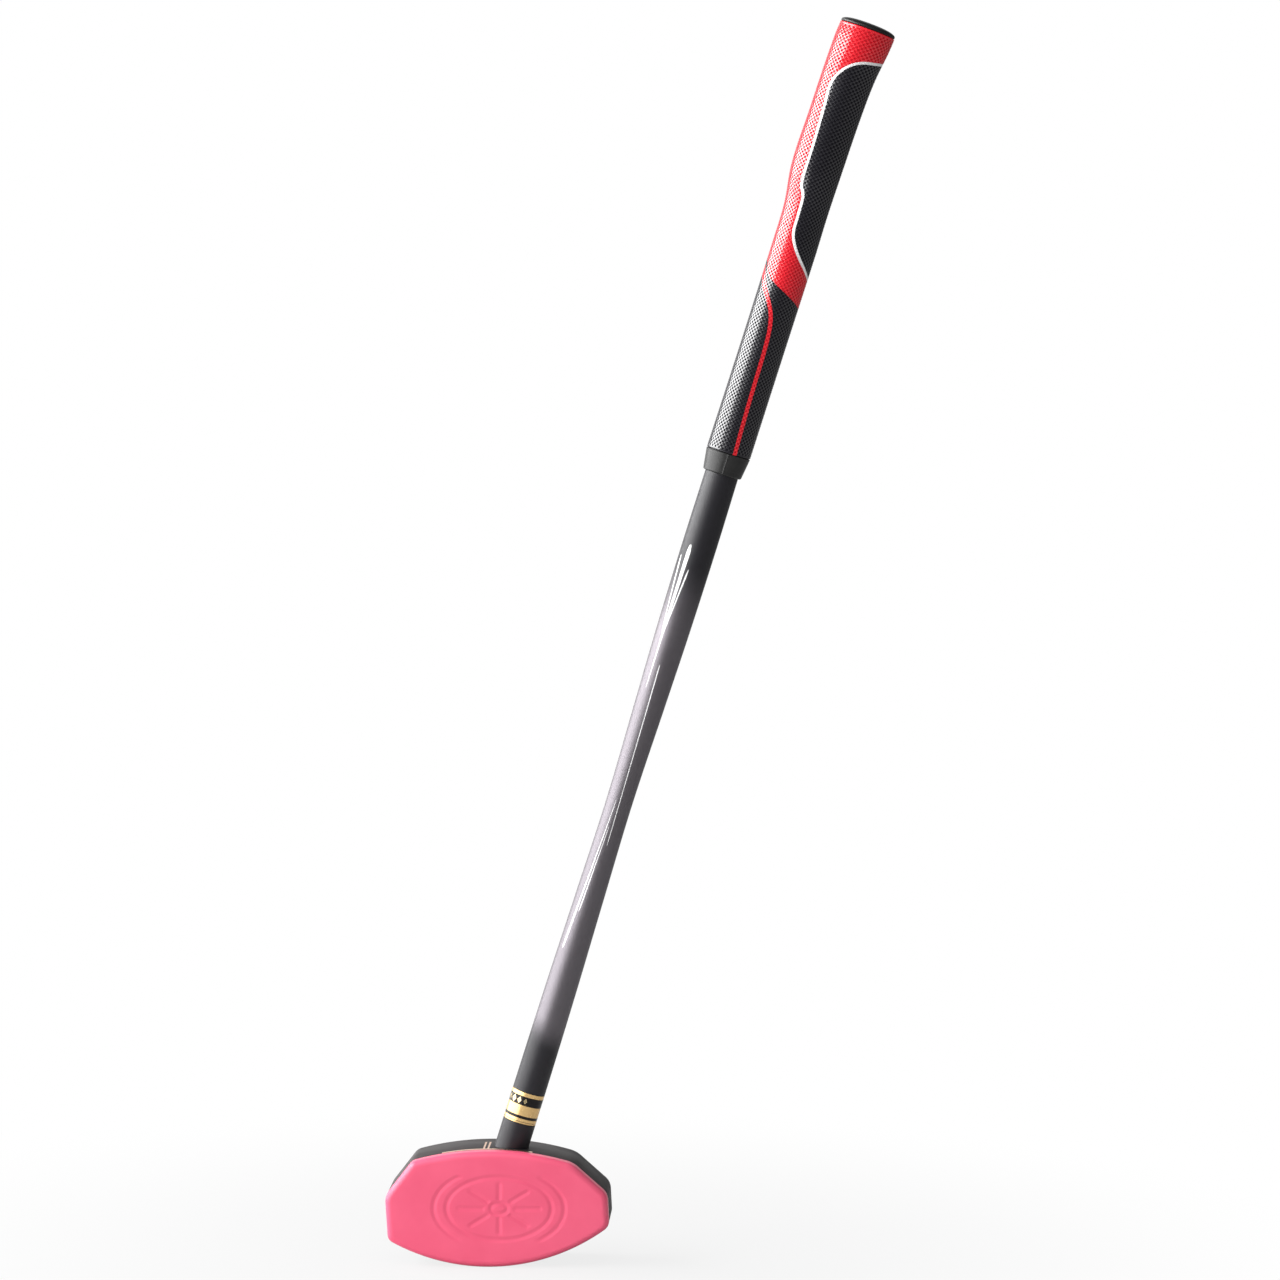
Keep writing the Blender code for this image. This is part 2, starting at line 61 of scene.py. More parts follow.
# Head outline
SOLE_RADIUS = 0.130
CROWN_RADIUS = 0.186
CROWN_APEX = (0.0021, 0.0756)
TOE_LOW_X = -0.0646
TOE_MID = (-0.0664, 0.0458)
TOE_TOP_X = -0.0488
HEEL_TOP_X = 0.0558
HEEL_MID = (0.0782, 0.0478)
HEEL_LOW_X = 0.0793
LOW_CORNER_CUT = 0.0033
MID_CORNER_CUT = 0.0044
HEEL_TOP_CUT = 0.0040
TOE_TOP_CUT = 0.0026

# Head in depth
FACE_FRONT = 0.0260
FACE_THICKNESS = 0.0100
FACE_EDGE_RADIUS = 0.0040
FACE_BACK_CHAMFER = 0.0003
HEAD_BACK = 0.0272
BACK_EDGE_RADIUS = 0.0030
BLOCK_FRONT_EDGE = 0.0004

# Relief on the face
RELIEF_CENTRE = (0.0080, 0.0388)
RING_HALF_SIZE = (0.0342, 0.0205)
ARC_HALF_SIZE = (0.0425, 0.0262)
ARC_HALF_ANGLE = radians(50)
HUB_HALF_SIZE = (0.0052, 0.0036)
SPOKE_COUNT = 8
SPOKE_START = 0.32
SPOKE_END = 0.76
GROOVE_HALF_WIDTH = 0.0025
GROOVE_DEPTH = 0.0004
DOWEL_PLACES = ((-0.044, 0.026), (-0.041, 0.057), (0.057, 0.030), (0.048, 0.060))
DOWEL_RADIUS = 0.0030
DOWEL_IN_FACE = 0.0050
DOWEL_IN_BLOCK = 0.0090

# Foil marks on the crown: one line along the face and two sight lines across the block
MARK_LIFT = 0.00001
MARK_THICKNESS = 0.00006
FACE_LINE_REACH = (-0.0298, 0.0290)
FACE_LINE_Y = (-0.0154, -0.0120)
SIGHT_LINE_X = (-0.0027, 0.0001)
SIGHT_LINE_Y = (-0.0120, 0.0120)
SIGHT_LINE_WIDTH = 0.0012

# Sole plate and its screws
PLATE_WIDTH = 0.040
PLATE_DEPTH = 0.034
PLATE_THICKNESS = 0.0025
PLATE_CORNER_RADIUS = 0.005
PLATE_CHAMFER = 0.0008
PLATE_CENTRE_Y = 0.0070
SCREW_INSET = 0.0058
SCREW_HEAD_RADIUS = 0.0031
SCREW_HEAD_HEIGHT = 0.0017
SCREW_SHANK_RADIUS = 0.0014
SCREW_LENGTH = 0.0130
SCREW_SINK = 0.0002
THREAD_PITCH = 0.0011
THREAD_DEPTH = 0.00035
THREAD_TAPER = 0.75
CROSS_LENGTH = 0.0034
CROSS_WIDTH = 0.0008
CROSS_DEPTH = 0.0009
CROSS_NARROWING = 0.7
WEIGHT_RADIUS = 0.0080
WEIGHT_HEIGHT = 0.0080

# Shaft: height and outer radius
SHAFT_END = 0.0200
TIP_RADIUS = 0.01075
TIP_CHAMFER = 0.0005
SHAFT_STATIONS = (
    (SHAFT_END, TIP_RADIUS),
    (0.1160, TIP_RADIUS),
    (0.1850, 0.01035),
    (0.2500, 0.00940),
    (0.3160, 0.00860),
    (0.3850, 0.00990),
    (0.4350, 0.01085),
    (0.4900, 0.01120),
)
COLLAR_SEAT_RADIUS = 0.01095
BUTT_RADIUS = 0.0100
SHAFT_WALL = 0.0015
PIN_HEIGHT = 0.0450
PIN_RADIUS = 0.0020
PIN_OVERHANG = 0.0035

# Foil band: where each printed ring starts and ends above the band's lower edge
BAND_BOTTOM = 0.0964
BAND_WIDTH = 0.0207
BAND_THICKNESS = 0.0003
GOLD_RINGS = ((0.0003, 0.0012), (0.0015, 0.0034), (0.0053, 0.0120), (0.0179, 0.0204))
RING_SOFTNESS = 0.00006
# Lozenges: a group of LOZENGE_GROUP in every LOZENGE_REPEAT places, largest in its second place
LOZENGE_RING = (0.0120, 0.0179)
LOZENGE_COUNT = 16
LOZENGE_REPEAT = 8
LOZENGE_GROUP = 4
LOZENGE_HEIGHT = 0.0048
LOZENGE_WIDTH = 0.0032
LARGEST_LOZENGE = 1.1
LOZENGE_SHRINKAGE = 0.18

# Grip skin: distance below its top, outer radius, offset of the section towards +X
GRIP_LENGTH = 0.2990
WRAP_STATIONS = (
    (0.2170, 0.01450, 0.0006),
    (0.1480, 0.01465, 0.0010),
    (0.1210, 0.01470, 0.0008),
    (0.0950, 0.01650, -0.0005),
    (0.0570, 0.01665, 0.0003),
    (0.0310, 0.01720, 0.0013),
    (0.0090, 0.01835, 0.0033),
    (0.0000, 0.01835, 0.0042),
)
WRAP_FOOT_RADIUS = 0.01465
WRAP_THICKNESS = 0.0016
WRAP_EDGE_RADIUS = 0.0006
TOP_TILT = tan(radians(2.8))
TILT_LENGTH = 0.050

# Embossed lattice of the skin
LATTICE_COLUMNS = 32
LATTICE_PITCH = 0.00285
LATTICE_DEPTH = 0.00030
LATTICE_STEPS = 4
PLAIN_MARGIN = (0.0004, 0.0012)
SEAM_ANGLE = pi / 2
SEAM_HALF_WIDTH = 0.0007
SEAM_DEPTH = 0.0004

# Coloured fields of the skin, drawn on one half and mirrored: distance below the top, and distance
# round the grip from its +X side
PANEL_EDGE = (
    (0.0184, 0.0), (0.0188, 0.0055), (0.0198, 0.0125), (0.0213, 0.0203), (0.0233, 0.0251),
    (0.0260, 0.0287), (0.0293, 0.0317), (0.0332, 0.0341), (0.0377, 0.0357), (0.0430, 0.0361),
    (0.0500, 0.0352), (0.0600, 0.0342), (0.0780, 0.0332), (0.0971, 0.0328), (0.1045, 0.0321),
    (0.1083, 0.0308), (0.1111, 0.0289), (0.1152, 0.0274), (0.1259, 0.0267), (0.1350, 0.0266),
    (0.1407, 0.0253), (0.1463, 0.0222), (0.1519, 0.0178), (0.1575, 0.0117), (0.1623, 0.0047),
    (0.1640, 0.0),
)
FIELD_EDGE = (
    (0.1840, 0.0), (0.1825, 0.0045), (0.1803, 0.0100), (0.1779, 0.0154), (0.1751, 0.0212),
    (0.1727, 0.0263), (0.1699, 0.0313), (0.1675, 0.0348), (0.1639, 0.0377), (0.1603, 0.0404),
    (0.1560, 0.0462),
)
SWOOSH = (
    (0.1640, 0.0445), (0.1695, 0.0400), (0.1750, 0.0355), (0.1803, 0.0311), (0.1847, 0.0278),
    (0.1895, 0.0251), (0.1947, 0.0232), (0.2010, 0.0219), (0.2090, 0.0211), (0.2200, 0.0206),
    (0.2350, 0.0203), (0.2550, 0.0198), (0.2750, 0.0190), (0.2865, 0.0184),
)
SWOOSH_WIDTH = (0.0026, 0.0046)
SWOOSH_FLARE = (0.1850, 0.1650)
PIPING_WIDTH = 0.0018
FIELD_SOFTNESS = 0.0001

# Collar
COLLAR_LENGTH = 0.0142
COLLAR_FOOT_RADIUS = 0.01285
COLLAR_EDGE_RADIUS = 0.0012
COLLAR_TOP_CHAMFER = 0.0004
COLLAR_SPIGOT_LENGTH = 0.0060
PARTING_ANGLES = (radians(-88), radians(92))
PARTING_HEIGHT = 0.00018
PARTING_HALF_WIDTH = 0.00045

# Cap
CAP_RADIUS = 0.0181
CAP_OFFSET = 0.0042
CAP_FULLNESS = 0.6
CAP_RIM = 0.0010
CAP_RIM_CHAMFER = 0.0003
CAP_STEM_LENGTH = 0.022
CAP_STEM_CHAMFER = 0.0006
CAP_HEIGHT = 0.0043
VENT_RADIUS = 0.0016
VENT_CHAMFER = 0.0002
VENT_DEPTH = 0.0030
VENT_NARROWING = 0.9

# Heights that follow
WRAP_TOP = CLUB_LENGTH - CAP_HEIGHT
COLLAR_BOTTOM = WRAP_TOP - GRIP_LENGTH
COLLAR_TOP = COLLAR_BOTTOM + COLLAR_LENGTH
WRAP_BOTTOM = COLLAR_TOP + CLEARANCE
SPIGOT_TOP = COLLAR_TOP + COLLAR_SPIGOT_LENGTH
SHAFT_TOP = WRAP_TOP - 2 * TOP_TILT * BUTT_RADIUS

# Paint on the shaft: heights between which the silver comes and goes, and how far they vary round it
SILVER_LOW = (0.147, 0.168)
SILVER_HIGH = (0.425, 0.480)
SILVER_DRIFT = 0.003
# Speed lines: low end, high end, angle in degrees at each, width at each end
SPEED_LINES = (
    (0.392, 0.490, -124, -119, 0.0003, 0.0027),
    (0.424, 0.474, -122, -100, 0.0003, 0.0010),
    (0.430, 0.482, -128, -148, 0.0003, 0.0011),
    (0.286, 0.410, -84, -98, 0.0005, 0.0007),
    (0.214, 0.318, -134, -104, 0.0015, 0.0003),
    (0.240, 0.300, -114, -100, 0.0009, 0.0003),
)
LINE_SOFTNESS = 0.00014
LINE_START = 0.0015

# Facets
ROUND_SIDES = 96
SCREW_SIDES = 32

# Light: level of the soft fill, level of the room in reflections, the way towards the middle of the
# white backdrop, and the cosine to that way where the backdrop starts and where it is full
FILL = 0.45
ROOM = 0.085
BACKDROP_WAY = (-0.423, 0.906, 0.0)
BACKDROP_SPREAD = (0.62, 0.90)
# Softboxes: place, target, width, height, watts
SOFTBOXES = {
    "low_left_softbox": ((-1.56, -1.20, 0.42), (0.1, -1.20, 0.42), 4.8, 0.84, 50.0),
    "high_left_softbox": ((-1.56, -0.10, 1.25), (0.1, -0.10, 0.85), 2.6, 0.70, 62.0),
    "front_softbox": ((-0.30, -1.50, 2.10), (0.08, 0.0, 0.35), 1.3, 1.0, 7.0),
}

# Floor: it turns white in reflections over FLOOR_BACK along FLOOR_WAY, and shows the club's shadow
# at NEAR_WHITE of white near the club, less and less over SHADOW_REACH
FLOOR_RADIUS = 4.0
FLOOR_COLOUR = (0.45, 0.45, 0.45)
FLOOR_WAY = (-0.707, 0.707, 0.0)
FLOOR_BACK = (0.4, 1.5)
SHADOW_REACH = (0.10, 0.60)
NEAR_WHITE = 0.82


# Meshes

def spread(start, end, steps):
    return [start + (end - start) * i / steps for i in range(steps + 1)]


def full_turn(sides):
    return [tau * i / sides for i in range(sides)]


def quarter_round(radius, steps):
    """A rounded edge, as how far each point lies past the flat side and in from the other one."""
    return [(radius * (1 - cos(turn)), radius * (1 - sin(turn))) for turn in spread(0, pi / 2, steps)]


def turn_gap(turn, line):
    """Angle between two turns, the short way round, for a number or an array."""
    return abs((turn - line + pi) % tau - pi)


def new_object(name, data):
    thing = bpy.data.objects.new(name, data)
    bpy.context.scene.collection.objects.link(thing)
    return thing


def shade(mesh, sharp):
    """Shade a mesh smooth up to a sharp angle in degrees."""
    mesh.shade_smooth()
    mesh.set_sharp_from_angle(angle=radians(sharp))


def ring_surface(name, rings, hollow=False, sharp=35):
    """An object from a run of equal rings. A hollow run closes on itself, a solid one gets caps."""
    count = len(rings[0])
    last = len(rings) - 1
    pairs = [(low, low + 1) for low in range(last)]
    faces = []
    if hollow:
        pairs.append((last, 0))
    else:
        faces.append([count - 1 - i for i in range(count)])
        faces.append([last * count + i for i in range(count)])
    for low, high in pairs:
        for i in range(count):
            j = (i + 1) % count
            faces.append([low * count + i, low * count + j, high * count + j, high * count + i])
    mesh = bpy.data.meshes.new(name)
    mesh.from_pydata([point for ring in rings for point in ring], [], faces)
    bm = bmesh.new()
    bm.from_mesh(mesh)
    bmesh.ops.recalc_face_normals(bm, faces=bm.faces[:])
    bm.to_mesh(mesh)
    bm.free()
    shade(mesh, sharp)
    return new_object(name, mesh)


def ring(height, radius, offset=0.0, tilt=0.0, turns=None):
    """A circle across the shaft's axis. With a tilt it lies in a plane that falls towards +X."""
    points = []
    for turn in turns or full_turn(ROUND_SIDES):
        x = offset + radius * cos(turn)
        points.append(Vector((x, radius * sin(turn), height - tilt * x)))
    return points


def lathe(name, rows, hollow=False, turns=None, sharp=35):
    return ring_surface(name, [ring(*row, turns=turns) for row in rows], hollow, sharp)


def moved(thing, matrix):
    thing.data.transform(matrix)
    return thing


def bake_modifiers(thing, sharp=35):
    """Replace the mesh by the evaluated one and drop the modifiers."""
    bpy.context.view_layer.update()
    evaluated = thing.evaluated_get(bpy.context.evaluated_depsgraph_get())
    mesh = bpy.data.meshes.new_from_object(evaluated)
    thing.modifiers.clear()
    thing.data = mesh
    shade(mesh, sharp)


def subtract(thing, cutters, sharp=35):
    """Cut the cutters out of an object, for good."""
    for cutter in cutters:
        modifier = thing.modifiers.new(cutter.name, "BOOLEAN")
        modifier.operation = "DIFFERENCE"
        modifier.solver = "EXACT"
        modifier.object = cutter
    bake_modifiers(thing, sharp)
    for cutter in cutters:
        bpy.data.objects.remove(cutter, do_unlink=True)


def bar_along_y(name, x, z, radius, front, back):
    rings = [[Vector((x + radius * cos(turn), y, z + radius * sin(turn)))
              for turn in full_turn(SCREW_SIDES)] for y in (front, back)]
    return ring_surface(name, rings)


def hermite(start, end, start_slope, end_slope, t):
    """A smooth way from start to end with the given slopes, for numbers or vectors."""
    return (start * (2 * t**3 - 3 * t**2 + 1) + start_slope * (t**3 - 2 * t**2 + t)
            + end * (3 * t**2 - 2 * t**3) + end_slope * (t**3 - t**2))


def smooth_through(stations, value):
    """Read a smooth curve through rising stations, whose first number is the place on the curve."""
    last = len(stations) - 1
    index = 0
    while index < last - 1 and value > stations[index + 1][0]:
        index += 1
    before, start = stations[max(index - 1, 0)], stations[index]
    end, after = stations[index + 1], stations[min(index + 2, last)]
    span = end[0] - start[0]
    start_share = span / (end[0] - before[0])
    end_share = span / (after[0] - start[0])
    return [hermite(start[i], end[i], (end[i] - before[i]) * start_share,
                    (after[i] - start[i]) * end_share, (value - start[0]) / span)
            for i in range(1, len(start))]


def curve_through(points, steps=8):
    """A smooth run of points through the given ones."""
    points = [Vector(point) for point in points]
    run = []
    for i, (start, end) in enumerate(zip(points, points[1:])):
        before, after = points[max(i - 1, 0)], points[min(i + 2, len(points) - 1)]
        run += [hermite(start, end, (end - before) / 2, (after - start) / 2, t)
                for t in spread(0, 1, steps)[:-1]]
    return np.array([tuple(point) for point in run + points[-1:]])


def ease(low, high, value):
    """0 below low, 1 above high, smooth in between, for a number or an array."""
    t = np.clip((value - low) / (high - low), 0, 1)
    return t * t * (3 - 2 * t)


def distance_to_run(places, run):
    """Distance from each place to a run of points joined by straight pieces."""
    best = np.full(len(places), np.inf)
    for start, end in zip(run, run[1:]):
        along = end - start
        t = np.clip(((places - start) @ along) / (along @ along), 0, 1)
        gap = places - start - t[:, None] * along
        best = np.minimum(best, np.hypot(gap[:, 0], gap[:, 1]))
    return best


# Shader and geometry nodes

def add_node(tree, kind, settings=None, inputs=None):
    """Add a node. An input is a value, or a socket to link from."""
    node = tree.nodes.new(kind)
    for key, value in (settings or {}).items():
        setattr(node, key, value)
    for key, value in (inputs or {}).items():
        if isinstance(value, bpy.types.NodeSocket):
            tree.links.new(value, node.inputs[key])
        else:
            node.inputs[key].default_value = value
    return node


def calculate(tree, operation, *values):
    inputs = dict(enumerate(values))
    return add_node(tree, "ShaderNodeMath", {"operation": operation}, inputs).outputs[0]


def times(tree, first, second):
    return calculate(tree, "MULTIPLY", first, second)


def minus(tree, first, second):
    return calculate(tree, "SUBTRACT", first, second)


def largest(tree, values):
    return reduce(lambda first, second: calculate(tree, "MAXIMUM", first, second), values)


def step(tree, value, low, high, start=0.0, end=1.0, shape="SMOOTHSTEP"):
    """Lead a value that goes from low to high over to one that goes from start to end, no further."""
    node = add_node(tree, "ShaderNodeMapRange", {"interpolation_type": shape}, {
        "Value": value, "From Min": low, "From Max": high, "To Min": start, "To Max": end})
    return node.outputs["Result"]


def ramp(tree, value, low, high, start=0.0, end=1.0):
    return step(tree, value, low, high, start, end, "LINEAR")


def below(tree, value, soft):
    """1 where a value is below 0, with a soft edge."""
    return step(tree, value, -soft, soft, 1.0, 0.0)


def mix_colour(tree, mask, first, second):
    node = add_node(tree, "ShaderNodeMix", {"data_type": "RGBA"}, {0: mask, 6: first, 7: second})
    return node.outputs[2]


def separate(tree, vector):
    return add_node(tree, "ShaderNodeSeparateXYZ", {}, {0: vector}).outputs


def dot(tree, vector, way):
    node = add_node(tree, "ShaderNodeVectorMath", {"operation": "DOT_PRODUCT"}, {0: vector, 1: way})
    return node.outputs["Value"]


def new_group(name, kind, inputs, outputs):
    """A node group, as its tree and the sockets that bring its inputs. An input is a kind of socket
    or a default, which also gives the kind."""
    tree = bpy.data.node_groups.new(name, kind)
    kinds = {float: "Float", int: "Int", tuple: "Vector"}
    for label, value in inputs.items():
        named = isinstance(value, str)
        socket_type = "NodeSocket" + (value if named else kinds[type(value)])
        socket = tree.interface.new_socket(label, in_out="INPUT", socket_type=socket_type)
        if not named:
            socket.default_value = value
    for label, value in outputs.items():
        tree.interface.new_socket(label, in_out="OUTPUT", socket_type="NodeSocket" + value)
    return tree, tree.nodes.new("NodeGroupInput").outputs


def close_group(tree, *values):
    """Link the values to the group's outputs, in their order."""
    for value, socket in zip(values, tree.nodes.new("NodeGroupOutput").inputs):
        tree.links.new(value, socket)
    return tree


def use_group(tree, group, inputs):
    return add_node(tree, "ShaderNodeGroup", {"node_tree": group}, inputs).outputs


def new_material(name, **plain):
    """A material and its Principled BSDF, with plain values for the sockets named in plain."""
    material = bpy.data.materials.new(name)
    material.use_nodes = True
    tree = material.node_tree
    shader = tree.nodes["Principled BSDF"]
    for key, value in plain.items():
        shader.inputs[key.replace("_", " ")].default_value = value
    return material, tree, shader


def feed(shader, **values):
    """Link values to the shader's sockets of those names."""
    for key, value in values.items():
        shader.id_data.links.new(value, shader.inputs[key.replace("_", " ")])


def add_bump(tree, shader, height, distance, strength=1.0):
    bump = add_node(tree, "ShaderNodeBump", {}, {
        "Height": height, "Distance": distance, "Strength": strength})
    feed(shader, Normal=bump.outputs[0])


def object_place(tree):
    return add_node(tree, "ShaderNodeTexCoord").outputs["Object"]


def shaft_place_group():
    """Height along the shaft's axis, and angle round it, of a place in the model's frame."""
    tree, get = new_group("shaft place", "ShaderNodeTree", {"Place": "Vector"}, {
        "Height": "Float", "Angle": "Float", "Upright": "Vector"})
    upright = add_node(tree, "ShaderNodeMapping", {"vector_type": "TEXTURE"}, {
        "Vector": get["Place"], "Location": (SHAFT_FOOT_X, 0, 0), "Rotation": (0, LEAN, 0)}).outputs[0]
    x, y, z = separate(tree, upright)
    return close_group(tree, z, calculate(tree, "ARCTAN2", y, x), upright)


def speed_line_group():
    """A line on the shaft that runs slightly round it and tapers to both ends."""
    inputs = dict.fromkeys(("Height", "Angle", "Low end", "High end", "Low angle", "High angle",
                            "Low width", "High width"), 0.0)
    tree, get = new_group("speed line", "ShaderNodeTree", {
        **inputs, "Radius": 0.0100, "End length": 0.006}, {"Mask": "Float"})
    height = get["Height"]
    along = ramp(tree, height, get["Low end"], get["High end"])
    centre = ramp(tree, along, 0.0, 1.0, get["Low angle"], get["High angle"])
    width = ramp(tree, along, 0.0, 1.0, get["Low width"], get["High width"])
    nearest_end = calculate(tree, "MINIMUM", minus(tree, height, get["Low end"]),
                            minus(tree, get["High end"], height))
    round_end = calculate(tree, "SQRT", ramp(tree, nearest_end, 0.0, get["End length"]))
    half = times(tree, times(tree, width, round_end), 0.5)
    off = times(tree, calculate(tree, "ABSOLUTE", minus(tree, get["Angle"], centre)), get["Radius"])
    inside = step(tree, minus(tree, half, off), -LINE_SOFTNESS, LINE_SOFTNESS)
    return close_group(tree, times(tree, inside, step(tree, nearest_end, 0.0, LINE_START)))


def grain_group():
    """Fine irregular grain: a height for bump and a mask for colour and roughness."""
    tree, get = new_group("fine grain", "ShaderNodeTree", {
        "Place": "Vector", "Scale": 400.0, "Stretch": (1, 1, 1)}, {"Height": "Float", "Mask": "Float"})
    place = add_node(tree, "ShaderNodeVectorMath", {"operation": "MULTIPLY"}, {
        0: get["Place"], 1: get["Stretch"]}).outputs[0]
    fine = add_node(tree, "ShaderNodeTexNoise", {}, {
        "Vector": place, "Scale": get["Scale"], "Detail": 4.0, "Roughness": 0.6})
    broad = add_node(tree, "ShaderNodeTexNoise", {}, {
        "Vector": place, "Scale": times(tree, get["Scale"], 0.08), "Detail": 3.0})
    return close_group(tree, fine.outputs[0], step(tree, broad.outputs[0], 0.35, 0.65))


def lattice_dimple(tree, phase):
    """Depth of the embossed lattice, from 0 on its knobs to 1 in its dimples."""
    waves = [calculate(tree, "COSINE", times(tree, phase[i], tau)) for i in (0, 1)]
    return calculate(tree, "MULTIPLY_ADD", times(tree, *waves), 0.5, 0.5)


GRAIN = grain_group()
SHAFT_PLACE = shaft_place_group()
SPEED_LINE = speed_line_group()


# Materials

def grain_at(tree, place, scale, stretch=(1, 1, 1)):
    return use_group(tree, GRAIN, {"Place": place, "Scale": scale, "Stretch": stretch})


def grained(name, dark, light, roughness, scale, bump, mask="Height", stretch=(1, 1, 1), metallic=0.0):
    """A material whose colour, roughness and bump follow the fine grain."""
    material, tree, shader = new_material(name, Metallic=metallic)
    grain = grain_at(tree, object_place(tree), scale, stretch)
    feed(shader, Base_Color=mix_colour(tree, grain[mask], (*dark, 1), (*light, 1)),
         Roughness=step(tree, grain["Height"], 0.3, 0.7, *roughness))
    add_bump(tree, shader, grain["Height"], *bump)
    return material


def pink_urethane():
    return grained("pink_urethane", (0.88, 0.105, 0.205), (0.92, 0.120, 0.225), (0.32, 0.40), 350.0,
                   (0.00003, 0.4), "Mask")


def foil(name, dark, light, roughness):
    return grained(name, dark, light, roughness, 1200.0, (0.00002, 0.3), metallic=1.0)


def turned_metal(name, dark, light, roughness, stretch):
    return grained(name, dark, light, roughness, 2200.0, (0.00002, 0.5), "Height", stretch, 1.0)


def rubber(name, dark, light, roughness):
    return grained(name, (dark,) * 3, (light,) * 3, roughness, 1500.0, (0.00005, 0.5), "Mask")


def bare_hardwood():
    material, tree, shader = new_material("bare_hardwood", Roughness=0.60)
    grain = grain_at(tree, object_place(tree), 900.0, (1.0, 0.12, 1.0))["Height"]
    feed(shader, Base_Color=mix_colour(tree, grain, (0.38, 0.22, 0.10, 1), (0.66, 0.47, 0.28, 1)))
    add_bump(tree, shader, grain, 0.00008, 0.6)
    return material


def lacquered_wood():
    material, tree, shader = new_material("lacquered_wood", Specular_IOR_Level=0.6)
    grain = grain_at(tree, object_place(tree), 900.0, (0.10, 0.6, 1.0))
    pores = step(tree, grain["Height"], 0.42, 0.60)
    feed(shader, Roughness=step(tree, grain["Mask"], 0, 1, 0.48, 0.58),
         Base_Color=mix_colour(tree, pores, (0.021, 0.016, 0.0165, 1), (0.033, 0.026, 0.027, 1)))
    add_bump(tree, shader, grain["Height"], 0.0001, 0.5)
    return material


def tape_cloth():
    material, tree, shader = new_material("tape_cloth", Roughness=0.85)
    weave = add_node(tree, "ShaderNodeTexBrick", {}, {
        "Vector": object_place(tree), "Scale": 900.0, "Color1": (0.72, 0.69, 0.58, 1),
        "Color2": (0.62, 0.59, 0.49, 1), "Mortar": (0.40, 0.38, 0.31, 1)})
    feed(shader, Base_Color=weave.outputs["Color"])
    add_bump(tree, shader, weave.outputs["Fac"], 0.0001, 0.5)
    return material


def shaft_paint():
    """Black paint with a silver middle and white speed lines, the same on both sides."""
    material, tree, shader = new_material("shaft_paint")
    place = use_group(tree, SHAFT_PLACE, {"Place": object_place(tree)})
    grain = grain_at(tree, place["Upright"], 3000.0)
    level = calculate(tree, "MULTIPLY_ADD", calculate(tree, "COSINE", place["Angle"]), SILVER_DRIFT,
                      place["Height"])
    silver = times(tree, step(tree, level, *SILVER_LOW), step(tree, level, *SILVER_HIGH, 1.0, 0.0))
    masks = []
    for low, high, low_angle, high_angle, low_width, high_width in SPEED_LINES:
        for shift in (0, 180):
            masks.append(use_group(tree, SPEED_LINE, {
                "Height": place["Height"], "Angle": place["Angle"], "Low end": low, "High end": high,
                "Low angle": radians(low_angle + shift), "High angle": radians(high_angle + shift),
                "Low width": low_width, "High width": high_width})["Mask"])
    lines = largest(tree, masks)
    flakes = times(tree, silver, step(tree, grain["Mask"], 0, 1, 0.97, 1.03))
    paint = mix_colour(tree, flakes, (0.013, 0.012, 0.0165, 1), (0.190, 0.175, 0.192, 1))
    feed(shader, Base_Color=mix_colour(tree, lines, paint, (0.90, 0.90, 0.90, 1)),
         Metallic=times(tree, times(tree, silver, minus(tree, 1.0, lines)), 0.85),
         Roughness=step(tree, grain["Mask"], 0, 1, 0.45, 0.48))
    add_bump(tree, shader, grain["Height"], 0.00001, 0.15)
    return material


def band_film():
    """Black film with gold rings."""
    material, tree, shader = new_material("band_film", Specular_IOR_Level=0.3)
    place = use_group(tree, SHAFT_PLACE, {"Place": object_place(tree)})
    above = minus(tree, place["Height"], BAND_BOTTOM)
    grain = grain_at(tree, place["Upright"], 2500.0, (1, 1, 0.1))["Height"]
    soft = RING_SOFTNESS
    gold = largest(tree, [times(tree, step(tree, above, low - soft, low + soft),
                                step(tree, above, high - soft, high + soft, 1.0, 0.0))
                          for low, high in GOLD_RINGS])
    gilt = mix_colour(tree, grain, (0.86, 0.56, 0.22, 1), (0.96, 0.68, 0.32, 1))
    feed(shader, Base_Color=mix_colour(tree, gold, (0.006, 0.004, 0.004, 1), gilt),
         Metallic=times(tree, gold, 0.7), Roughness=step(tree, grain, 0.3, 0.7, 0.20, 0.28))
    return material


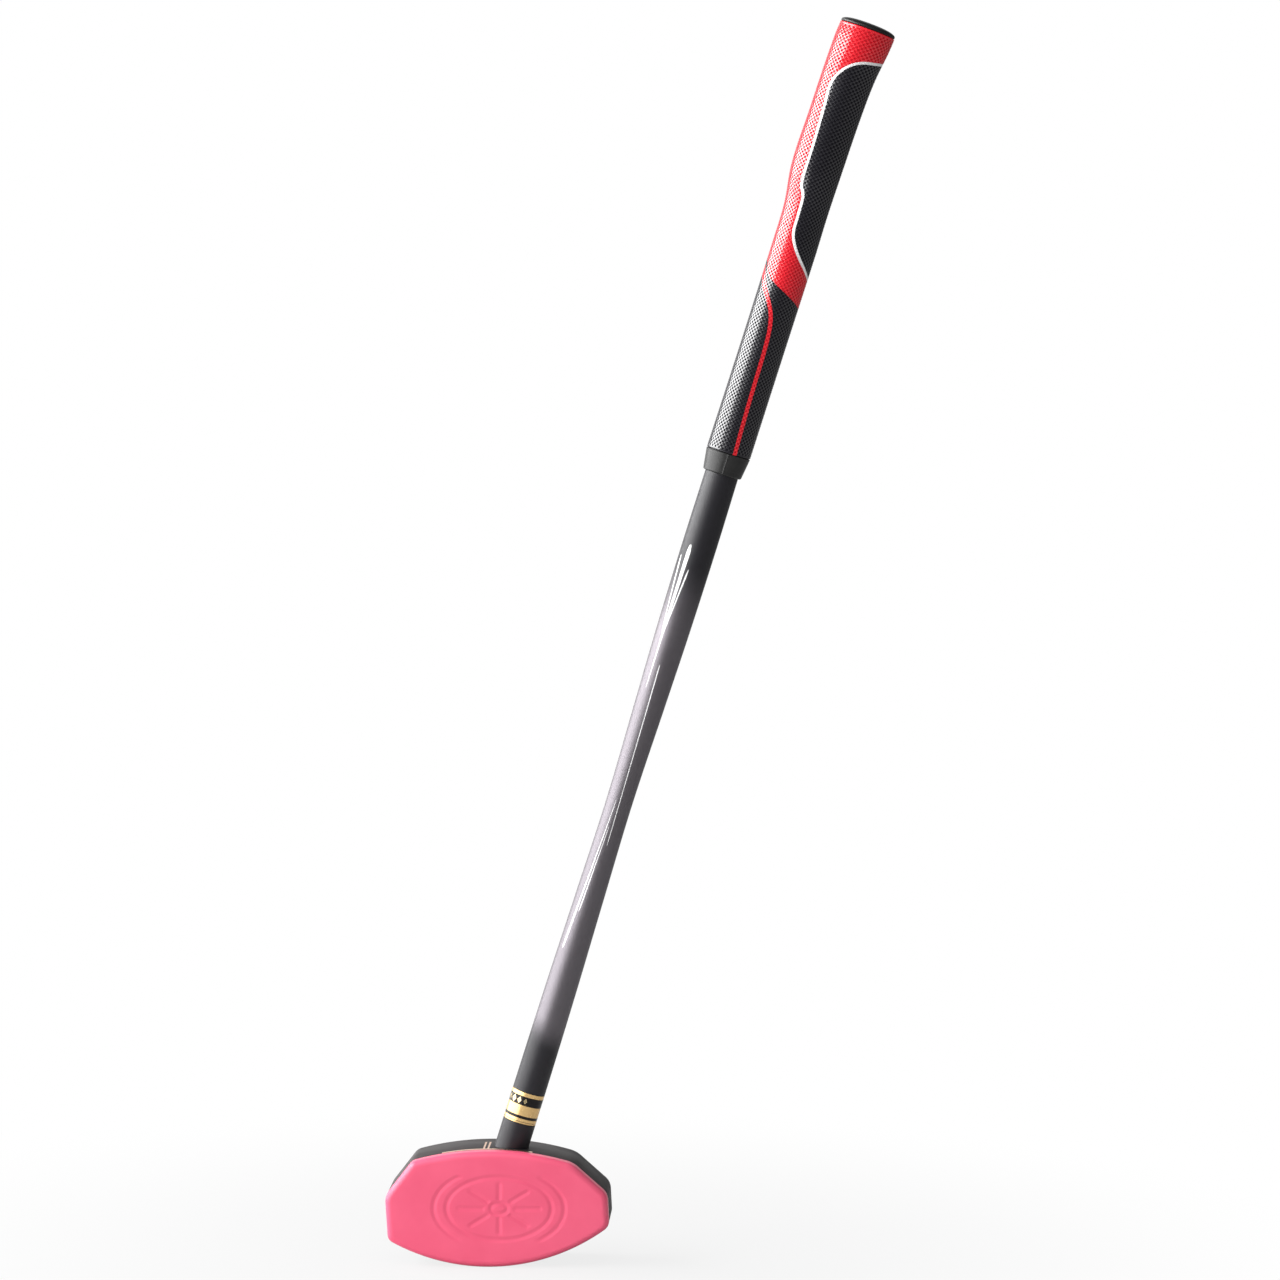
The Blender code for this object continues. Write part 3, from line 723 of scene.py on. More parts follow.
def grip_skin():
    """Red and black fields with white piping, read from the distances kept on the mesh, with painted shade
    in the lattice's dimples.
    """
    material, tree, shader = new_material("grip_skin", Specular_IOR_Level=0.05, Coat_Roughness=0.22,
                                          Coat_IOR=1.9)

    def kept(name):
        return separate(tree, add_node(tree, "ShaderNodeAttribute", {
            "attribute_name": name}).outputs["Vector"])

    panel, lower, swoosh = kept("fields")
    strength = kept("emboss")[0]
    dimple = times(tree, lattice_dimple(tree, kept("lattice")), strength)
    hollow = step(tree, dimple, 0.42, 0.62)
    from_piping = minus(tree, calculate(tree, "ABSOLUTE", panel), PIPING_WIDTH / 2)
    dark = largest(tree, [below(tree, panel, FIELD_SOFTNESS), below(tree, lower, FIELD_SOFTNESS)])
    red = (0.88, 0.013, 0.027, 1)
    colour = mix_colour(tree, dark, red, (0.014, 0.013, 0.018, 1))
    colour = mix_colour(tree, below(tree, swoosh, FIELD_SOFTNESS), colour, red)
    # Painted shade: the colour in the lattice's dimples is darkened 38 percent towards black.
    colour = mix_colour(tree, times(tree, hollow, 0.38), colour, (0, 0, 0, 1))
    colour = mix_colour(tree, below(tree, from_piping, FIELD_SOFTNESS), colour, (0.93, 0.93, 0.93, 1))
    grain = grain_at(tree, object_place(tree), 1800.0)["Height"]
    knob_gloss = step(tree, hollow, 0, 1, 1.0, 0.0)
    plain_gloss = step(tree, strength, 0, 1, 0.45, 1.0)
    feed(shader, Base_Color=colour, Roughness=step(tree, grain, 0.3, 0.7, 0.46, 0.54),
         Coat_Weight=times(tree, knob_gloss, plain_gloss))
    edge = step(tree, calculate(tree, "ABSOLUTE", from_piping), 0.0, 0.0004)
    relief = calculate(tree, "MULTIPLY_ADD", dimple, -1.0, times(tree, edge, 0.7))
    add_bump(tree, shader, calculate(tree, "MULTIPLY_ADD", grain, 0.08, relief), 0.00006)
    return material


# Pieces of the head

def sole_height(x):
    return SOLE_RADIUS - sqrt(SOLE_RADIUS**2 - x**2)


def crown_height(x):
    return CROWN_APEX[1] - CROWN_RADIUS + sqrt(CROWN_RADIUS**2 - (x - CROWN_APEX[0])**2)


def head_outline(corner_steps=10):
    """Points round the head, seen from the front, from the toe's low corner towards the heel."""
    # Corner, how far its rounding reaches, and the curve and the steps of the side that follows
    corners = [
        (Vector((TOE_LOW_X, sole_height(TOE_LOW_X))), LOW_CORNER_CUT, sole_height, 66),
        (Vector((HEEL_LOW_X, sole_height(HEEL_LOW_X))), LOW_CORNER_CUT, None, 10),
        (Vector(HEEL_MID), MID_CORNER_CUT, None, 12),
        (Vector((HEEL_TOP_X, crown_height(HEEL_TOP_X))), HEEL_TOP_CUT, crown_height, 54),
        (Vector((TOE_TOP_X, crown_height(TOE_TOP_X))), TOE_TOP_CUT, None, 12),
        (Vector(TOE_MID), MID_CORNER_CUT, None, 10),
    ]
    sides = []
    for (start, cut_start, height, steps), (end, cut_end, *_) in zip(corners, corners[1:] + corners[:1]):
        length = (end - start).length
        points = [start.lerp(end, t) for t in spread(cut_start / length, 1 - cut_end / length, steps)]
        for point in points:
            if height:
                point.y = height(point.x)
        sides.append((points, end))
    outline = []
    for (points, corner), (following, _) in zip(sides, sides[1:] + sides[:1]):
        outline += points
        for t in spread(0, 1, corner_steps)[1:-1]:
            outline.append(points[-1].lerp(corner, t).lerp(corner.lerp(following[0], t), t))
    return outline


OUTLINE = head_outline()


def outline_ring(inset, y):
    """The head's outline at depth y, drawn in evenly by inset."""
    points = []
    for i, point in enumerate(OUTLINE):
        along = (OUTLINE[(i + 1) % len(OUTLINE)] - OUTLINE[i - 1]).normalized()
        points.append(Vector((point.x - along.y * inset, y, point.y + along.x * inset)))
    return points


def rounded_edge(y_flat, direction, radius, steps):
    return [outline_ring(inset, y_flat + direction * past) for past, inset in quarter_round(radius, steps)]


def dowel_rooms(name, front, back):
    """The room that the dowels take up between two depths."""
    return [bar_along_y(f"{name}_{i}", x, z, DOWEL_RADIUS + CLEARANCE, front, back)
            for i, (x, z) in enumerate(DOWEL_PLACES)]


def relief_depth(x, z):
    """How deep the relief lies at places of the face, as an array."""
    def groove(gap):
        return 0.5 + 0.5 * np.cos(np.pi * np.clip(gap / GROOVE_HALF_WIDTH, 0, 1))

    def oval(half_size):
        share = np.hypot(x / half_size[0], z / half_size[1])
        steep = np.hypot(x / half_size[0]**2, z / half_size[1]**2) / np.maximum(share, 1e-6)
        return np.abs(share - 1) / steep

    x = x - RELIEF_CENTRE[0]
    z = z - RELIEF_CENTRE[1]
    turn = np.arctan2(z / ARC_HALF_SIZE[1], np.abs(x) / ARC_HALF_SIZE[0])
    past_end = np.maximum(np.abs(turn) - ARC_HALF_ANGLE, 0) * ARC_HALF_SIZE[1]
    depth = np.maximum(groove(oval(RING_HALF_SIZE)), groove(oval(HUB_HALF_SIZE)))
    depth = np.maximum(depth, groove(np.hypot(oval(ARC_HALF_SIZE), past_end)))
    places = np.stack([x, z], axis=1)
    for turn in full_turn(SPOKE_COUNT):
        reach = np.array([RING_HALF_SIZE[0] * cos(turn), RING_HALF_SIZE[1] * sin(turn)])
        ends = np.array([reach * SPOKE_START, reach * SPOKE_END])
        depth = np.maximum(depth, groove(distance_to_run(places, ends)))
    return GROOVE_DEPTH * depth


def build_face_plate(material):
    """The urethane plate. Its front is a fan of rings that grow from the relief's middle to the rim."""
    fan_start, fan_steps = 0.004, 110
    back = -FACE_FRONT + FACE_THICKNESS
    centre = Vector((RELIEF_CENTRE[0], -FACE_FRONT, RELIEF_CENTRE[1]))
    edge = rounded_edge(-FACE_FRONT, 1, FACE_EDGE_RADIUS, 8)
    fan = [[centre.lerp(point, share) for point in edge[0]]
           for share in spread(fan_start, 1, fan_steps)[:-1]]
    for points in fan:
        depth = relief_depth(np.array([p.x for p in points]), np.array([p.z for p in points]))
        for point, sunk in zip(points, depth):
            point.y += sunk
    rear = [outline_ring(0, back - FACE_BACK_CHAMFER), outline_ring(FACE_BACK_CHAMFER, back)]
    plate = ring_surface("urethane_plate", fan + edge + rear, sharp=40)
    subtract(plate, dowel_rooms("socket", back - DOWEL_IN_FACE - CLEARANCE, 0), sharp=40)
    dress(plate, material, "pink_urethane", "face_plate")


def plate_ring(grow, z):
    """The sole plate's rounded outline at height z, let out by grow."""
    radius = PLATE_CORNER_RADIUS + grow
    points = []
    for quarter, (sign_x, sign_y) in enumerate(((1, 1), (-1, 1), (-1, -1), (1, -1))):
        centre_x = sign_x * (PLATE_WIDTH / 2 - PLATE_CORNER_RADIUS)
        centre_y = PLATE_CENTRE_Y + sign_y * (PLATE_DEPTH / 2 - PLATE_CORNER_RADIUS)
        for turn in spread(quarter * pi / 2, (quarter + 1) * pi / 2, 12):
            points.append(Vector((centre_x + radius * cos(turn), centre_y + radius * sin(turn), z)))
    return points


def screw_moves():
    """Where the four sole screws stand, as moves from the origin."""
    x = PLATE_WIDTH / 2 - SCREW_INSET
    y = PLATE_DEPTH / 2 - SCREW_INSET
    return [Matrix.Translation((sign_x * x, PLATE_CENTRE_Y + sign_y * y, 0))
            for sign_x in (-1, 1) for sign_y in (-1, 1)]


def screw_rooms(name):
    """The room that the screws take up in the plate and the block."""
    guard = 0.002
    head, shank = SCREW_HEAD_RADIUS + CLEARANCE, SCREW_SHANK_RADIUS + CLEARANCE
    rows = [(-guard, head), (SCREW_SINK, head), (SCREW_SINK + SCREW_HEAD_HEIGHT, shank),
            (SCREW_LENGTH + CLEARANCE, shank)]
    return [moved(lathe(f"{name}_{i}", rows, turns=full_turn(SCREW_SIDES)), move)
            for i, move in enumerate(screw_moves())]


def build_block(material):
    """The lacquered wooden block with its shaft bore, plate recess and holes."""
    front = -FACE_FRONT + FACE_THICKNESS + CLEARANCE
    guard = 0.0006
    rings = [outline_ring(BLOCK_FRONT_EDGE + guard, front)]
    rings += rounded_edge(front, 1, BLOCK_FRONT_EDGE, 3)
    rings += rounded_edge(HEAD_BACK, -1, BACK_EDGE_RADIUS, 8)[::-1]
    rings += [outline_ring(BACK_EDGE_RADIUS + guard, HEAD_BACK)]
    block = ring_surface("lacquered_block", rings)

    bore_radius, bore_top = TIP_RADIUS + CLEARANCE, 0.15
    bore = lathe("bore", [(SHAFT_END - CLEARANCE, bore_radius), (bore_top, bore_radius)])
    pin_hole = bar_along_y("pin_hole", 0, PIN_HEIGHT, PIN_RADIUS + CLEARANCE, -FACE_FRONT,
                           bore_radius + PIN_OVERHANG)
    depth = PLATE_THICKNESS + CLEARANCE
    recess = ring_surface("recess", [plate_ring(CLEARANCE, -depth), plate_ring(CLEARANCE, depth)])
    pocket_radius = WEIGHT_RADIUS + CLEARANCE
    pocket = lathe("pocket", [(0.0, pocket_radius), (depth + WEIGHT_HEIGHT + CLEARANCE, pocket_radius)])
    subtract(block, [moved(bore, SHAFT_FRAME), moved(pin_hole, SHAFT_FRAME), recess,
                     moved(pocket, Matrix.Translation((0, PLATE_CENTRE_Y, 0))),
                     *dowel_rooms("block_socket", -FACE_FRONT, front + DOWEL_IN_BLOCK + CLEARANCE),
                     *screw_rooms("pilot")])
    dress(block, material, "lacquered_wood", "head_body")


def build_crown_marks(material):
    """Thin foil strips that follow the crown."""
    strips = {"face_line": (FACE_LINE_REACH, FACE_LINE_Y, 40)}
    for i, x in enumerate(SIGHT_LINE_X, start=1):
        reach = (x - SIGHT_LINE_WIDTH / 2, x + SIGHT_LINE_WIDTH / 2)
        strips[f"sight_line_{i}"] = (reach, SIGHT_LINE_Y, 2)
    for name, (reach, (front, back), steps) in strips.items():
        rings = []
        for x in spread(*reach, steps):
            low, high = crown_height(x) + MARK_LIFT, crown_height(x) + MARK_THICKNESS
            rings.append([Vector((x, front, low)), Vector((x, back, low)),
                          Vector((x, back, high)), Vector((x, front, high))])
        dress(ring_surface(name, rings), material, "brass")


def build_sole_plate(material):
    guard = 0.0004
    rings = [plate_ring(-PLATE_CHAMFER - guard, 0)]
    rings += [plate_ring(-inset, rise) for rise, inset in quarter_round(PLATE_CHAMFER, 5)]
    rings += [plate_ring(0, PLATE_THICKNESS)]
    plate = ring_surface("brushed_sole_plate", rings)
    subtract(plate, screw_rooms("plate_hole"))
    dress(plate, material, "brass", "sole_plate")


def build_screw(index, move, material):
    """A countersunk wood screw with a cross slot and a thread."""
    top = SCREW_SINK + SCREW_HEAD_HEIGHT
    rows = [(SCREW_SINK, SCREW_HEAD_RADIUS - 0.0002), (SCREW_SINK + 0.0001, SCREW_HEAD_RADIUS),
            (top, SCREW_SHANK_RADIUS)]
    threads = int((SCREW_LENGTH - top) / THREAD_PITCH)
    flank, root = 0.3 * THREAD_PITCH, SCREW_SHANK_RADIUS - THREAD_DEPTH
    for i in range(1, threads):
        height = top + i * THREAD_PITCH
        taper = 1 - THREAD_TAPER * (i / threads)**4
        rows += [(height - flank, root * taper), (height, SCREW_SHANK_RADIUS * taper),
                 (height + flank, root * taper)]
    rows.append((SCREW_LENGTH, SCREW_SHANK_RADIUS / 8))
    screw = moved(lathe(f"wood_screw_{index}", rows, turns=full_turn(SCREW_SIDES), sharp=30), move)
    slots = []
    ends = ((SCREW_SINK - 0.001, 1.0), (SCREW_SINK + CROSS_DEPTH, CROSS_NARROWING))
    for name, length, width in (("long", CROSS_LENGTH, CROSS_WIDTH), ("wide", CROSS_WIDTH, CROSS_LENGTH)):
        rings = [[Vector((sign_x * length / 2 * share, sign_y * width / 2 * share, z))
                  for sign_x, sign_y in ((-1, -1), (1, -1), (1, 1), (-1, 1))] for z, share in ends]
        slots.append(moved(ring_surface(f"cross_{name}_{index}", rings), move))
    subtract(screw, slots, sharp=30)
    dress(screw, material, "brass", f"sole_screw_{index}")


# Pieces of the shaft

def shaft_radius(height):
    return smooth_through((*SHAFT_STATIONS, (COLLAR_BOTTOM, COLLAR_SEAT_RADIUS)), height)[0]


def shaft_rows(start, end, steps, less=0.0):
    """Rows along the shaft's outside, or under it by less."""
    return [(height, shaft_radius(height) - less) for height in spread(start, end, steps)]


def build_shaft(material):
    band_top = BAND_BOTTOM + BAND_WIDTH
    outer = [(SHAFT_END, TIP_RADIUS - TIP_CHAMFER), (SHAFT_END + TIP_CHAMFER, TIP_RADIUS)]
    outer += shaft_rows(SHAFT_END + 0.002, BAND_BOTTOM, 12)
    outer += shaft_rows(BAND_BOTTOM, band_top, 1, BAND_THICKNESS + CLEARANCE)
    outer += shaft_rows(band_top, COLLAR_BOTTOM, 110)
    outer += [(COLLAR_TOP, BUTT_RADIUS), (SHAFT_TOP, BUTT_RADIUS)]
    bore = shaft_rows(SHAFT_END, COLLAR_BOTTOM, 40, SHAFT_WALL)
    bore += [(COLLAR_TOP, BUTT_RADIUS - SHAFT_WALL), (SHAFT_TOP, BUTT_RADIUS - SHAFT_WALL)]
    tube = lathe("painted_shaft", outer + bore[::-1], hollow=True)
    reach = 0.03
    subtract(tube, [bar_along_y("tube_pin_hole", 0, PIN_HEIGHT, PIN_RADIUS + CLEARANCE, -reach, reach)])
    dress(moved(tube, SHAFT_FRAME), material, "shaft_paint", "shaft_tube")


def end_with_material(tree, geometry, material):
    """Make the copies real, give them their material and close the geometry tree."""
    real = add_node(tree, "GeometryNodeRealizeInstances", {}, {"Geometry": geometry})
    painted = add_node(tree, "GeometryNodeSetMaterial", {}, {
        "Geometry": real.outputs[0], "Material": material})
    return close_group(tree, painted.outputs[0])


def lozenge_tree(material):
    """Lozenges in a ring round the shaft, each a flat four-sided plate that looks outwards."""
    tree, get = new_group("lozenge ring", "GeometryNodeTree", {
        "Geometry": "Geometry", "Count": LOZENGE_COUNT, "Radius": 0.01, "Lozenge height": 0.004,
        "Lozenge width": 0.002, "Thickness": 0.0001}, {"Geometry": "Geometry"})
    circle = add_node(tree, "GeometryNodeMeshCircle", {}, {
        "Vertices": get["Count"], "Radius": get["Radius"]})
    plate = add_node(tree, "GeometryNodeMeshCylinder", {}, {"Vertices": 4, "Radius": 0.5, "Depth": 1.0})
    size = add_node(tree, "ShaderNodeCombineXYZ", {}, {
        "X": get["Lozenge height"], "Y": get["Lozenge width"], "Z": get["Thickness"]})
    shaped = add_node(tree, "GeometryNodeTransform", {}, {
        "Geometry": plate.outputs["Mesh"], "Scale": size.outputs[0]})
    place = add_node(tree, "GeometryNodeInputPosition").outputs[0]
    outward = add_node(tree, "FunctionNodeAlignRotationToVector", {"axis": "Z"}, {"Vector": place})
    upright = add_node(tree, "FunctionNodeAlignRotationToVector", {"axis": "X", "pivot_axis": "Z"}, {
        "Rotation": outward.outputs[0], "Vector": (0, 0, 1)})
    index = add_node(tree, "GeometryNodeInputIndex").outputs[0]
    after_first = calculate(tree, "ADD", index, float(LOZENGE_REPEAT - 1))
    in_group = calculate(tree, "MODULO", after_first, float(LOZENGE_REPEAT))
    shown = calculate(tree, "LESS_THAN", in_group, LOZENGE_GROUP - 0.5)
    from_largest = calculate(tree, "ABSOLUTE", minus(tree, in_group, 1.0))
    scale = calculate(tree, "MULTIPLY_ADD", from_largest, -LOZENGE_SHRINKAGE, LARGEST_LOZENGE)
    copies = add_node(tree, "GeometryNodeInstanceOnPoints", {}, {
        "Points": circle.outputs["Mesh"], "Instance": shaped.outputs[0], "Selection": shown,
        "Rotation": upright.outputs[0], "Scale": scale})
    return end_with_material(tree, copies.outputs[0], material)


def run_geometry(thing, tree, values=None):
    """Run a geometry tree on an object, keep its result as a plain mesh and drop the modifier."""
    modifier = thing.modifiers.new(tree.name, "NODES")
    modifier.node_group = tree
    names = {item.name: item.identifier for item in tree.interface.items_tree if item.in_out == "INPUT"}
    for key, value in (values or {}).items():
        modifier[names[key]] = value
    bake_modifiers(thing)


def build_band(film, gold):
    """The film and, on it, lozenges of gold with a black ground and a gold heart."""
    low, high = BAND_BOTTOM + CLEARANCE, BAND_BOTTOM + BAND_WIDTH - CLEARANCE
    rows = shaft_rows(low, high, 6) + shaft_rows(low, high, 6, BAND_THICKNESS)[::-1]
    band = lathe("printed_band", rows, hollow=True)
    dress(moved(band, SHAFT_FRAME), film, "gold_foil", "foil_band")

    middle = BAND_BOTTOM + sum(LOZENGE_RING) / 2
    layers = (("lozenges", 1.0, 0.00010, gold), ("lozenge_grounds", 0.50, 0.00013, film),
              ("lozenge_hearts", 0.28, 0.00016, gold))
    for name, share, thickness, finish in layers:
        thing = new_object(name, bpy.data.meshes.new(name))
        run_geometry(thing, lozenge_tree(finish), {
            "Radius": shaft_radius(middle), "Lozenge height": share * LOZENGE_HEIGHT,
            "Lozenge width": share * LOZENGE_WIDTH, "Thickness": thickness})
        moved(thing, Matrix.Translation((0, 0, middle)))
        dress(moved(thing, SHAFT_FRAME), finish, "gold_foil")


# Pieces of the grip

def wrap_row(height, draw_in):
    stations = [(WRAP_BOTTOM, WRAP_FOOT_RADIUS, 0.0)]
    stations += [(WRAP_TOP - down, radius, offset) for down, radius, offset in WRAP_STATIONS]
    radius, offset = smooth_through(stations, height)
    near_top = max(0.0, 1 - (WRAP_TOP - height) / TILT_LENGTH)
    return (height, radius - draw_in, offset, TOP_TILT * near_top**2)


def embossing_tree(material):
    """Sinks a lattice of small dimples into a surface, along its normals."""
    tree, get = new_group("embossed lattice", "GeometryNodeTree", {
        "Geometry": "Geometry", "Depth": LATTICE_DEPTH, "Seam depth": SEAM_DEPTH}, {
        "Geometry": "Geometry"})

    def kept(name):
        return separate(tree, add_node(tree, "GeometryNodeInputNamedAttribute", {
            "data_type": "FLOAT_VECTOR"}, {"Name": name}).outputs[0])

    strength = kept("emboss")
    dimple = times(tree, lattice_dimple(tree, kept("lattice")), strength[0])
    seam = times(tree, strength[1], get["Seam depth"])
    sunk = calculate(tree, "MULTIPLY_ADD", dimple, get["Depth"], seam)
    shift = add_node(tree, "ShaderNodeVectorMath", {"operation": "SCALE"}, {
        0: add_node(tree, "GeometryNodeInputNormal").outputs[0], "Scale": times(tree, sunk, -1.0)})
    skin = add_node(tree, "GeometryNodeSetPosition", {}, {
        "Geometry": get["Geometry"], "Offset": shift.outputs[0]})
    return end_with_material(tree, skin.outputs[0], material)


def inside_run(places, run):
    """Whether each place on the unrolled skin lies between a run and the grip's +X side."""
    inside = np.zeros(len(places), bool)
    closed = np.vstack([run, [run[-1][0], -0.001], [run[0][0], -0.001]])
    for start, end in zip(closed, np.roll(closed, -1, axis=0)):
        crosses = (start[0] > places[:, 0]) != (end[0] > places[:, 0])
        with np.errstate(divide="ignore", invalid="ignore"):
            at = start[1] + (places[:, 0] - start[0]) / (end[0] - start[0]) * (end[1] - start[1])
        inside ^= crosses & (places[:, 1] < at)
    return inside


def add_attribute(mesh, name, columns):
    data = mesh.attributes.new(name, "FLOAT_VECTOR", "POINT")
    data.data.foreach_set("vector", np.stack(columns, axis=1).astype(np.float32).ravel())


def field_distances(places):
    """Distances to the panel's edge, the lower field's edge and the swoosh, below 0 inside each."""
    panel_edge, field_edge = curve_through(PANEL_EDGE), curve_through(FIELD_EDGE)
    panel = distance_to_run(places, panel_edge)
    lower = distance_to_run(places, field_edge)
    in_lower = places[:, 0] > np.interp(places[:, 1], field_edge[:, 1], field_edge[:, 0])
    flare = ease(-SWOOSH_FLARE[0], -SWOOSH_FLARE[1], -places[:, 0])
    half_width = (SWOOSH_WIDTH[0] + (SWOOSH_WIDTH[1] - SWOOSH_WIDTH[0]) * flare) / 2
    return [np.where(inside_run(places, panel_edge), -panel, panel), np.where(in_lower, -lower, lower),
            distance_to_run(places, curve_through(SWOOSH)) - half_width]


def build_wrap(material):
    """The skin: a few rows and columns to each period of the lattice, with rolled ends."""
    columns = LATTICE_STEPS * LATTICE_COLUMNS
    turns = [SEAM_ANGLE + turn for turn in full_turn(columns)]
    edge = WRAP_EDGE_RADIUS
    row_count = LATTICE_STEPS * round((WRAP_TOP - WRAP_BOTTOM - 2 * edge) / LATTICE_PITCH)
    roll = quarter_round(edge, 4)[:-1]
    outer = [wrap_row(WRAP_BOTTOM + rise, draw_in) for rise, draw_in in roll]
    outer += [wrap_row(height, 0) for height in spread(WRAP_BOTTOM + edge, WRAP_TOP - edge, row_count)]
    outer += [wrap_row(WRAP_TOP - fall, draw_in) for fall, draw_in in roll[::-1]]
    rows = outer + [wrap_row(height, WRAP_THICKNESS) for height in spread(WRAP_TOP, WRAP_BOTTOM, 36)]
    skin = lathe("embossed_skin", rows, hollow=True, turns=turns)

    row_of = np.repeat(np.arange(len(rows)), columns)
    column_of = np.tile(np.arange(columns), len(rows))
    height = np.array([row[0] for row in rows])[row_of]
    radius = np.array([row[1] for row in rows])[row_of]
    from_ends = np.minimum(height - WRAP_BOTTOM, WRAP_TOP - height)
    from_seam = np.minimum(column_of, columns - column_of) * tau / columns * radius
    strength = ease(*PLAIN_MARGIN, from_ends) * ease(SEAM_HALF_WIDTH, 2.5 * SEAM_HALF_WIDTH, from_seam)
    seam = 1 - ease(0.0, SEAM_HALF_WIDTH, from_seam)
    outside = row_of < len(outer)
    zero = np.zeros(len(height))
    add_attribute(skin.data, "lattice", [column_of / LATTICE_STEPS,
                                         (row_of - len(roll)) / LATTICE_STEPS, zero])
    add_attribute(skin.data, "emboss", [np.where(outside, share, 0) for share in (strength, seam, zero)])
    from_side = turn_gap(np.array(turns)[column_of], 0) * radius
    places = np.stack([WRAP_TOP - height, from_side], axis=1)
    add_attribute(skin.data, "fields", field_distances(places))
    run_geometry(skin, embossing_tree(material))
    dress(moved(skin, SHAFT_FRAME), material, "grip_skin", "grip_wrap")


def build_collar(material):
    """The rubber collar, with a fine parting line on two sides."""
    reach = PARTING_HALF_WIDTH / COLLAR_FOOT_RADIUS
    turns = full_turn(ROUND_SIDES)
    for line in PARTING_ANGLES:
        turns = [turn for turn in turns if turn_gap(turn, line) > 1.5 * reach]
        turns += [line % tau + share * reach for share in (-1, -0.5, 0, 0.5, 1)]
    turns.sort()
    bore = COLLAR_SEAT_RADIUS + CLEARANCE
    spigot = WRAP_FOOT_RADIUS - WRAP_THICKNESS - CLEARANCE
    edge_top = COLLAR_BOTTOM + COLLAR_EDGE_RADIUS
    slope = (WRAP_FOOT_RADIUS - COLLAR_FOOT_RADIUS) / (COLLAR_TOP - edge_top)
    rows = [(COLLAR_BOTTOM + rise, COLLAR_FOOT_RADIUS - inset)
            for rise, inset in quarter_round(COLLAR_EDGE_RADIUS, 8)]
    rows += [(height, COLLAR_FOOT_RADIUS + slope * (height - edge_top))
             for height in spread(edge_top, COLLAR_TOP - COLLAR_TOP_CHAMFER, 12)[1:]]
    lined = len(rows)
    rows += [(COLLAR_TOP, WRAP_FOOT_RADIUS - COLLAR_TOP_CHAMFER), (COLLAR_TOP, spigot),
             (SPIGOT_TOP, spigot), (SPIGOT_TOP, bore), (COLLAR_BOTTOM, bore)]
    rings = [ring(*row, turns=turns) for row in rows]
    for points in rings[2:lined]:
        for point, turn in zip(points, turns):
            for line in PARTING_ANGLES:
                off = turn_gap(turn, line) * COLLAR_FOOT_RADIUS
                lift = PARTING_HEIGHT * max(0.0, 1 - off / PARTING_HALF_WIDTH)
                point.x += lift * cos(turn)
                point.y += lift * sin(turn)
    collar = ring_surface("moulded_collar", rings, hollow=True)
    dress(moved(collar, SHAFT_FRAME), material, "black_rubber", "grip_collar")


def build_cap(material):
    """The domed cap with a vent in its middle and a stem in the shaft."""
    seat = WRAP_TOP + CLEARANCE
    foot = seat - CAP_STEM_LENGTH
    stem = BUTT_RADIUS - SHAFT_WALL - CLEARANCE
    dome = CLUB_LENGTH - seat - CAP_RIM
    head = [(seat, CAP_RADIUS - CAP_RIM_CHAMFER), (seat + CAP_RIM_CHAMFER, CAP_RADIUS)]
    for turn in spread(0, pi / 2, 28)[:-1]:
        radius = CAP_RADIUS * cos(turn)**CAP_FULLNESS
        if radius > VENT_RADIUS + 2 * VENT_CHAMFER:
            head.append((seat + CAP_RIM + dome * sin(turn), radius))
    top = head[-1][0]
    head += [(top, VENT_RADIUS + VENT_CHAMFER), (top - VENT_CHAMFER, VENT_RADIUS),
             (top - VENT_DEPTH, VENT_NARROWING * VENT_RADIUS)]
    rows = [(foot, stem - CAP_STEM_CHAMFER), (foot + CAP_STEM_CHAMFER, stem), (seat, stem, 0, TOP_TILT)]
    rows += [(height, radius, CAP_OFFSET, TOP_TILT) for height, radius in head]
    dress(moved(lathe("domed_cap", rows), SHAFT_FRAME), material, "black_rubber", "butt_cap")


# Putting it together

def dress(thing, material, slot, *nodes):
    """Give a finished piece its material and its body, and hide the nodes that it stands for. The slot is
    not used.
    """
    thing.data.materials.clear()
    thing.data.materials.append(material)
    if nodes:
        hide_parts(*nodes)
    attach(thing, "root")


def paint_node(name, material):
    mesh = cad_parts[name].data
    mesh.materials.clear()
    mesh.materials.append(material)


def build_club():
    brass = turned_metal("brushed_brass", (0.62, 0.42, 0.18), (0.78, 0.57, 0.28), (0.26, 0.42),
                         (0.05, 1.0, 1.0))
    steel = turned_metal("turned_steel", (0.45, 0.45, 0.46), (0.62, 0.62, 0.63), (0.30, 0.46),
                         (1.0, 1.0, 0.08))
    black_rubber = rubber("moulded_rubber", 0.0104, 0.0156, (0.33, 0.44))
    hardwood = bare_hardwood()
    build_face_plate(pink_urethane())
    build_block(lacquered_wood())
    build_crown_marks(foil("copper_foil", (0.78, 0.47, 0.32), (0.93, 0.64, 0.46), (0.24, 0.36)))
    build_sole_plate(brass)
    for i, move in enumerate(screw_moves(), start=1):
        build_screw(i, move, brass)
        paint_node(f"face_dowel_{i}", hardwood)
    build_shaft(shaft_paint())
    build_band(band_film(), foil("gold_foil", (0.80, 0.60, 0.30), (0.95, 0.78, 0.45), (0.20, 0.30)))
    build_wrap(grip_skin())
    build_collar(black_rubber)
    build_cap(black_rubber)
    paint_node("shaft_tip_plug", hardwood)
    paint_node("sole_weight", steel)
    paint_node("shaft_pin", steel)
    paint_node("grip_tape", tape_cloth())
    paint_node("grip_sleeve", rubber("foam_rubber", 0.08, 0.12, (0.80, 0.91)))


def aim(thing, place, target):
    """Stand a lamp or a camera at a place and turn it towards its target."""
    thing.location = place
    thing.rotation_euler = (Vector(target) - Vector(place)).to_track_quat("-Z", "Y").to_euler()


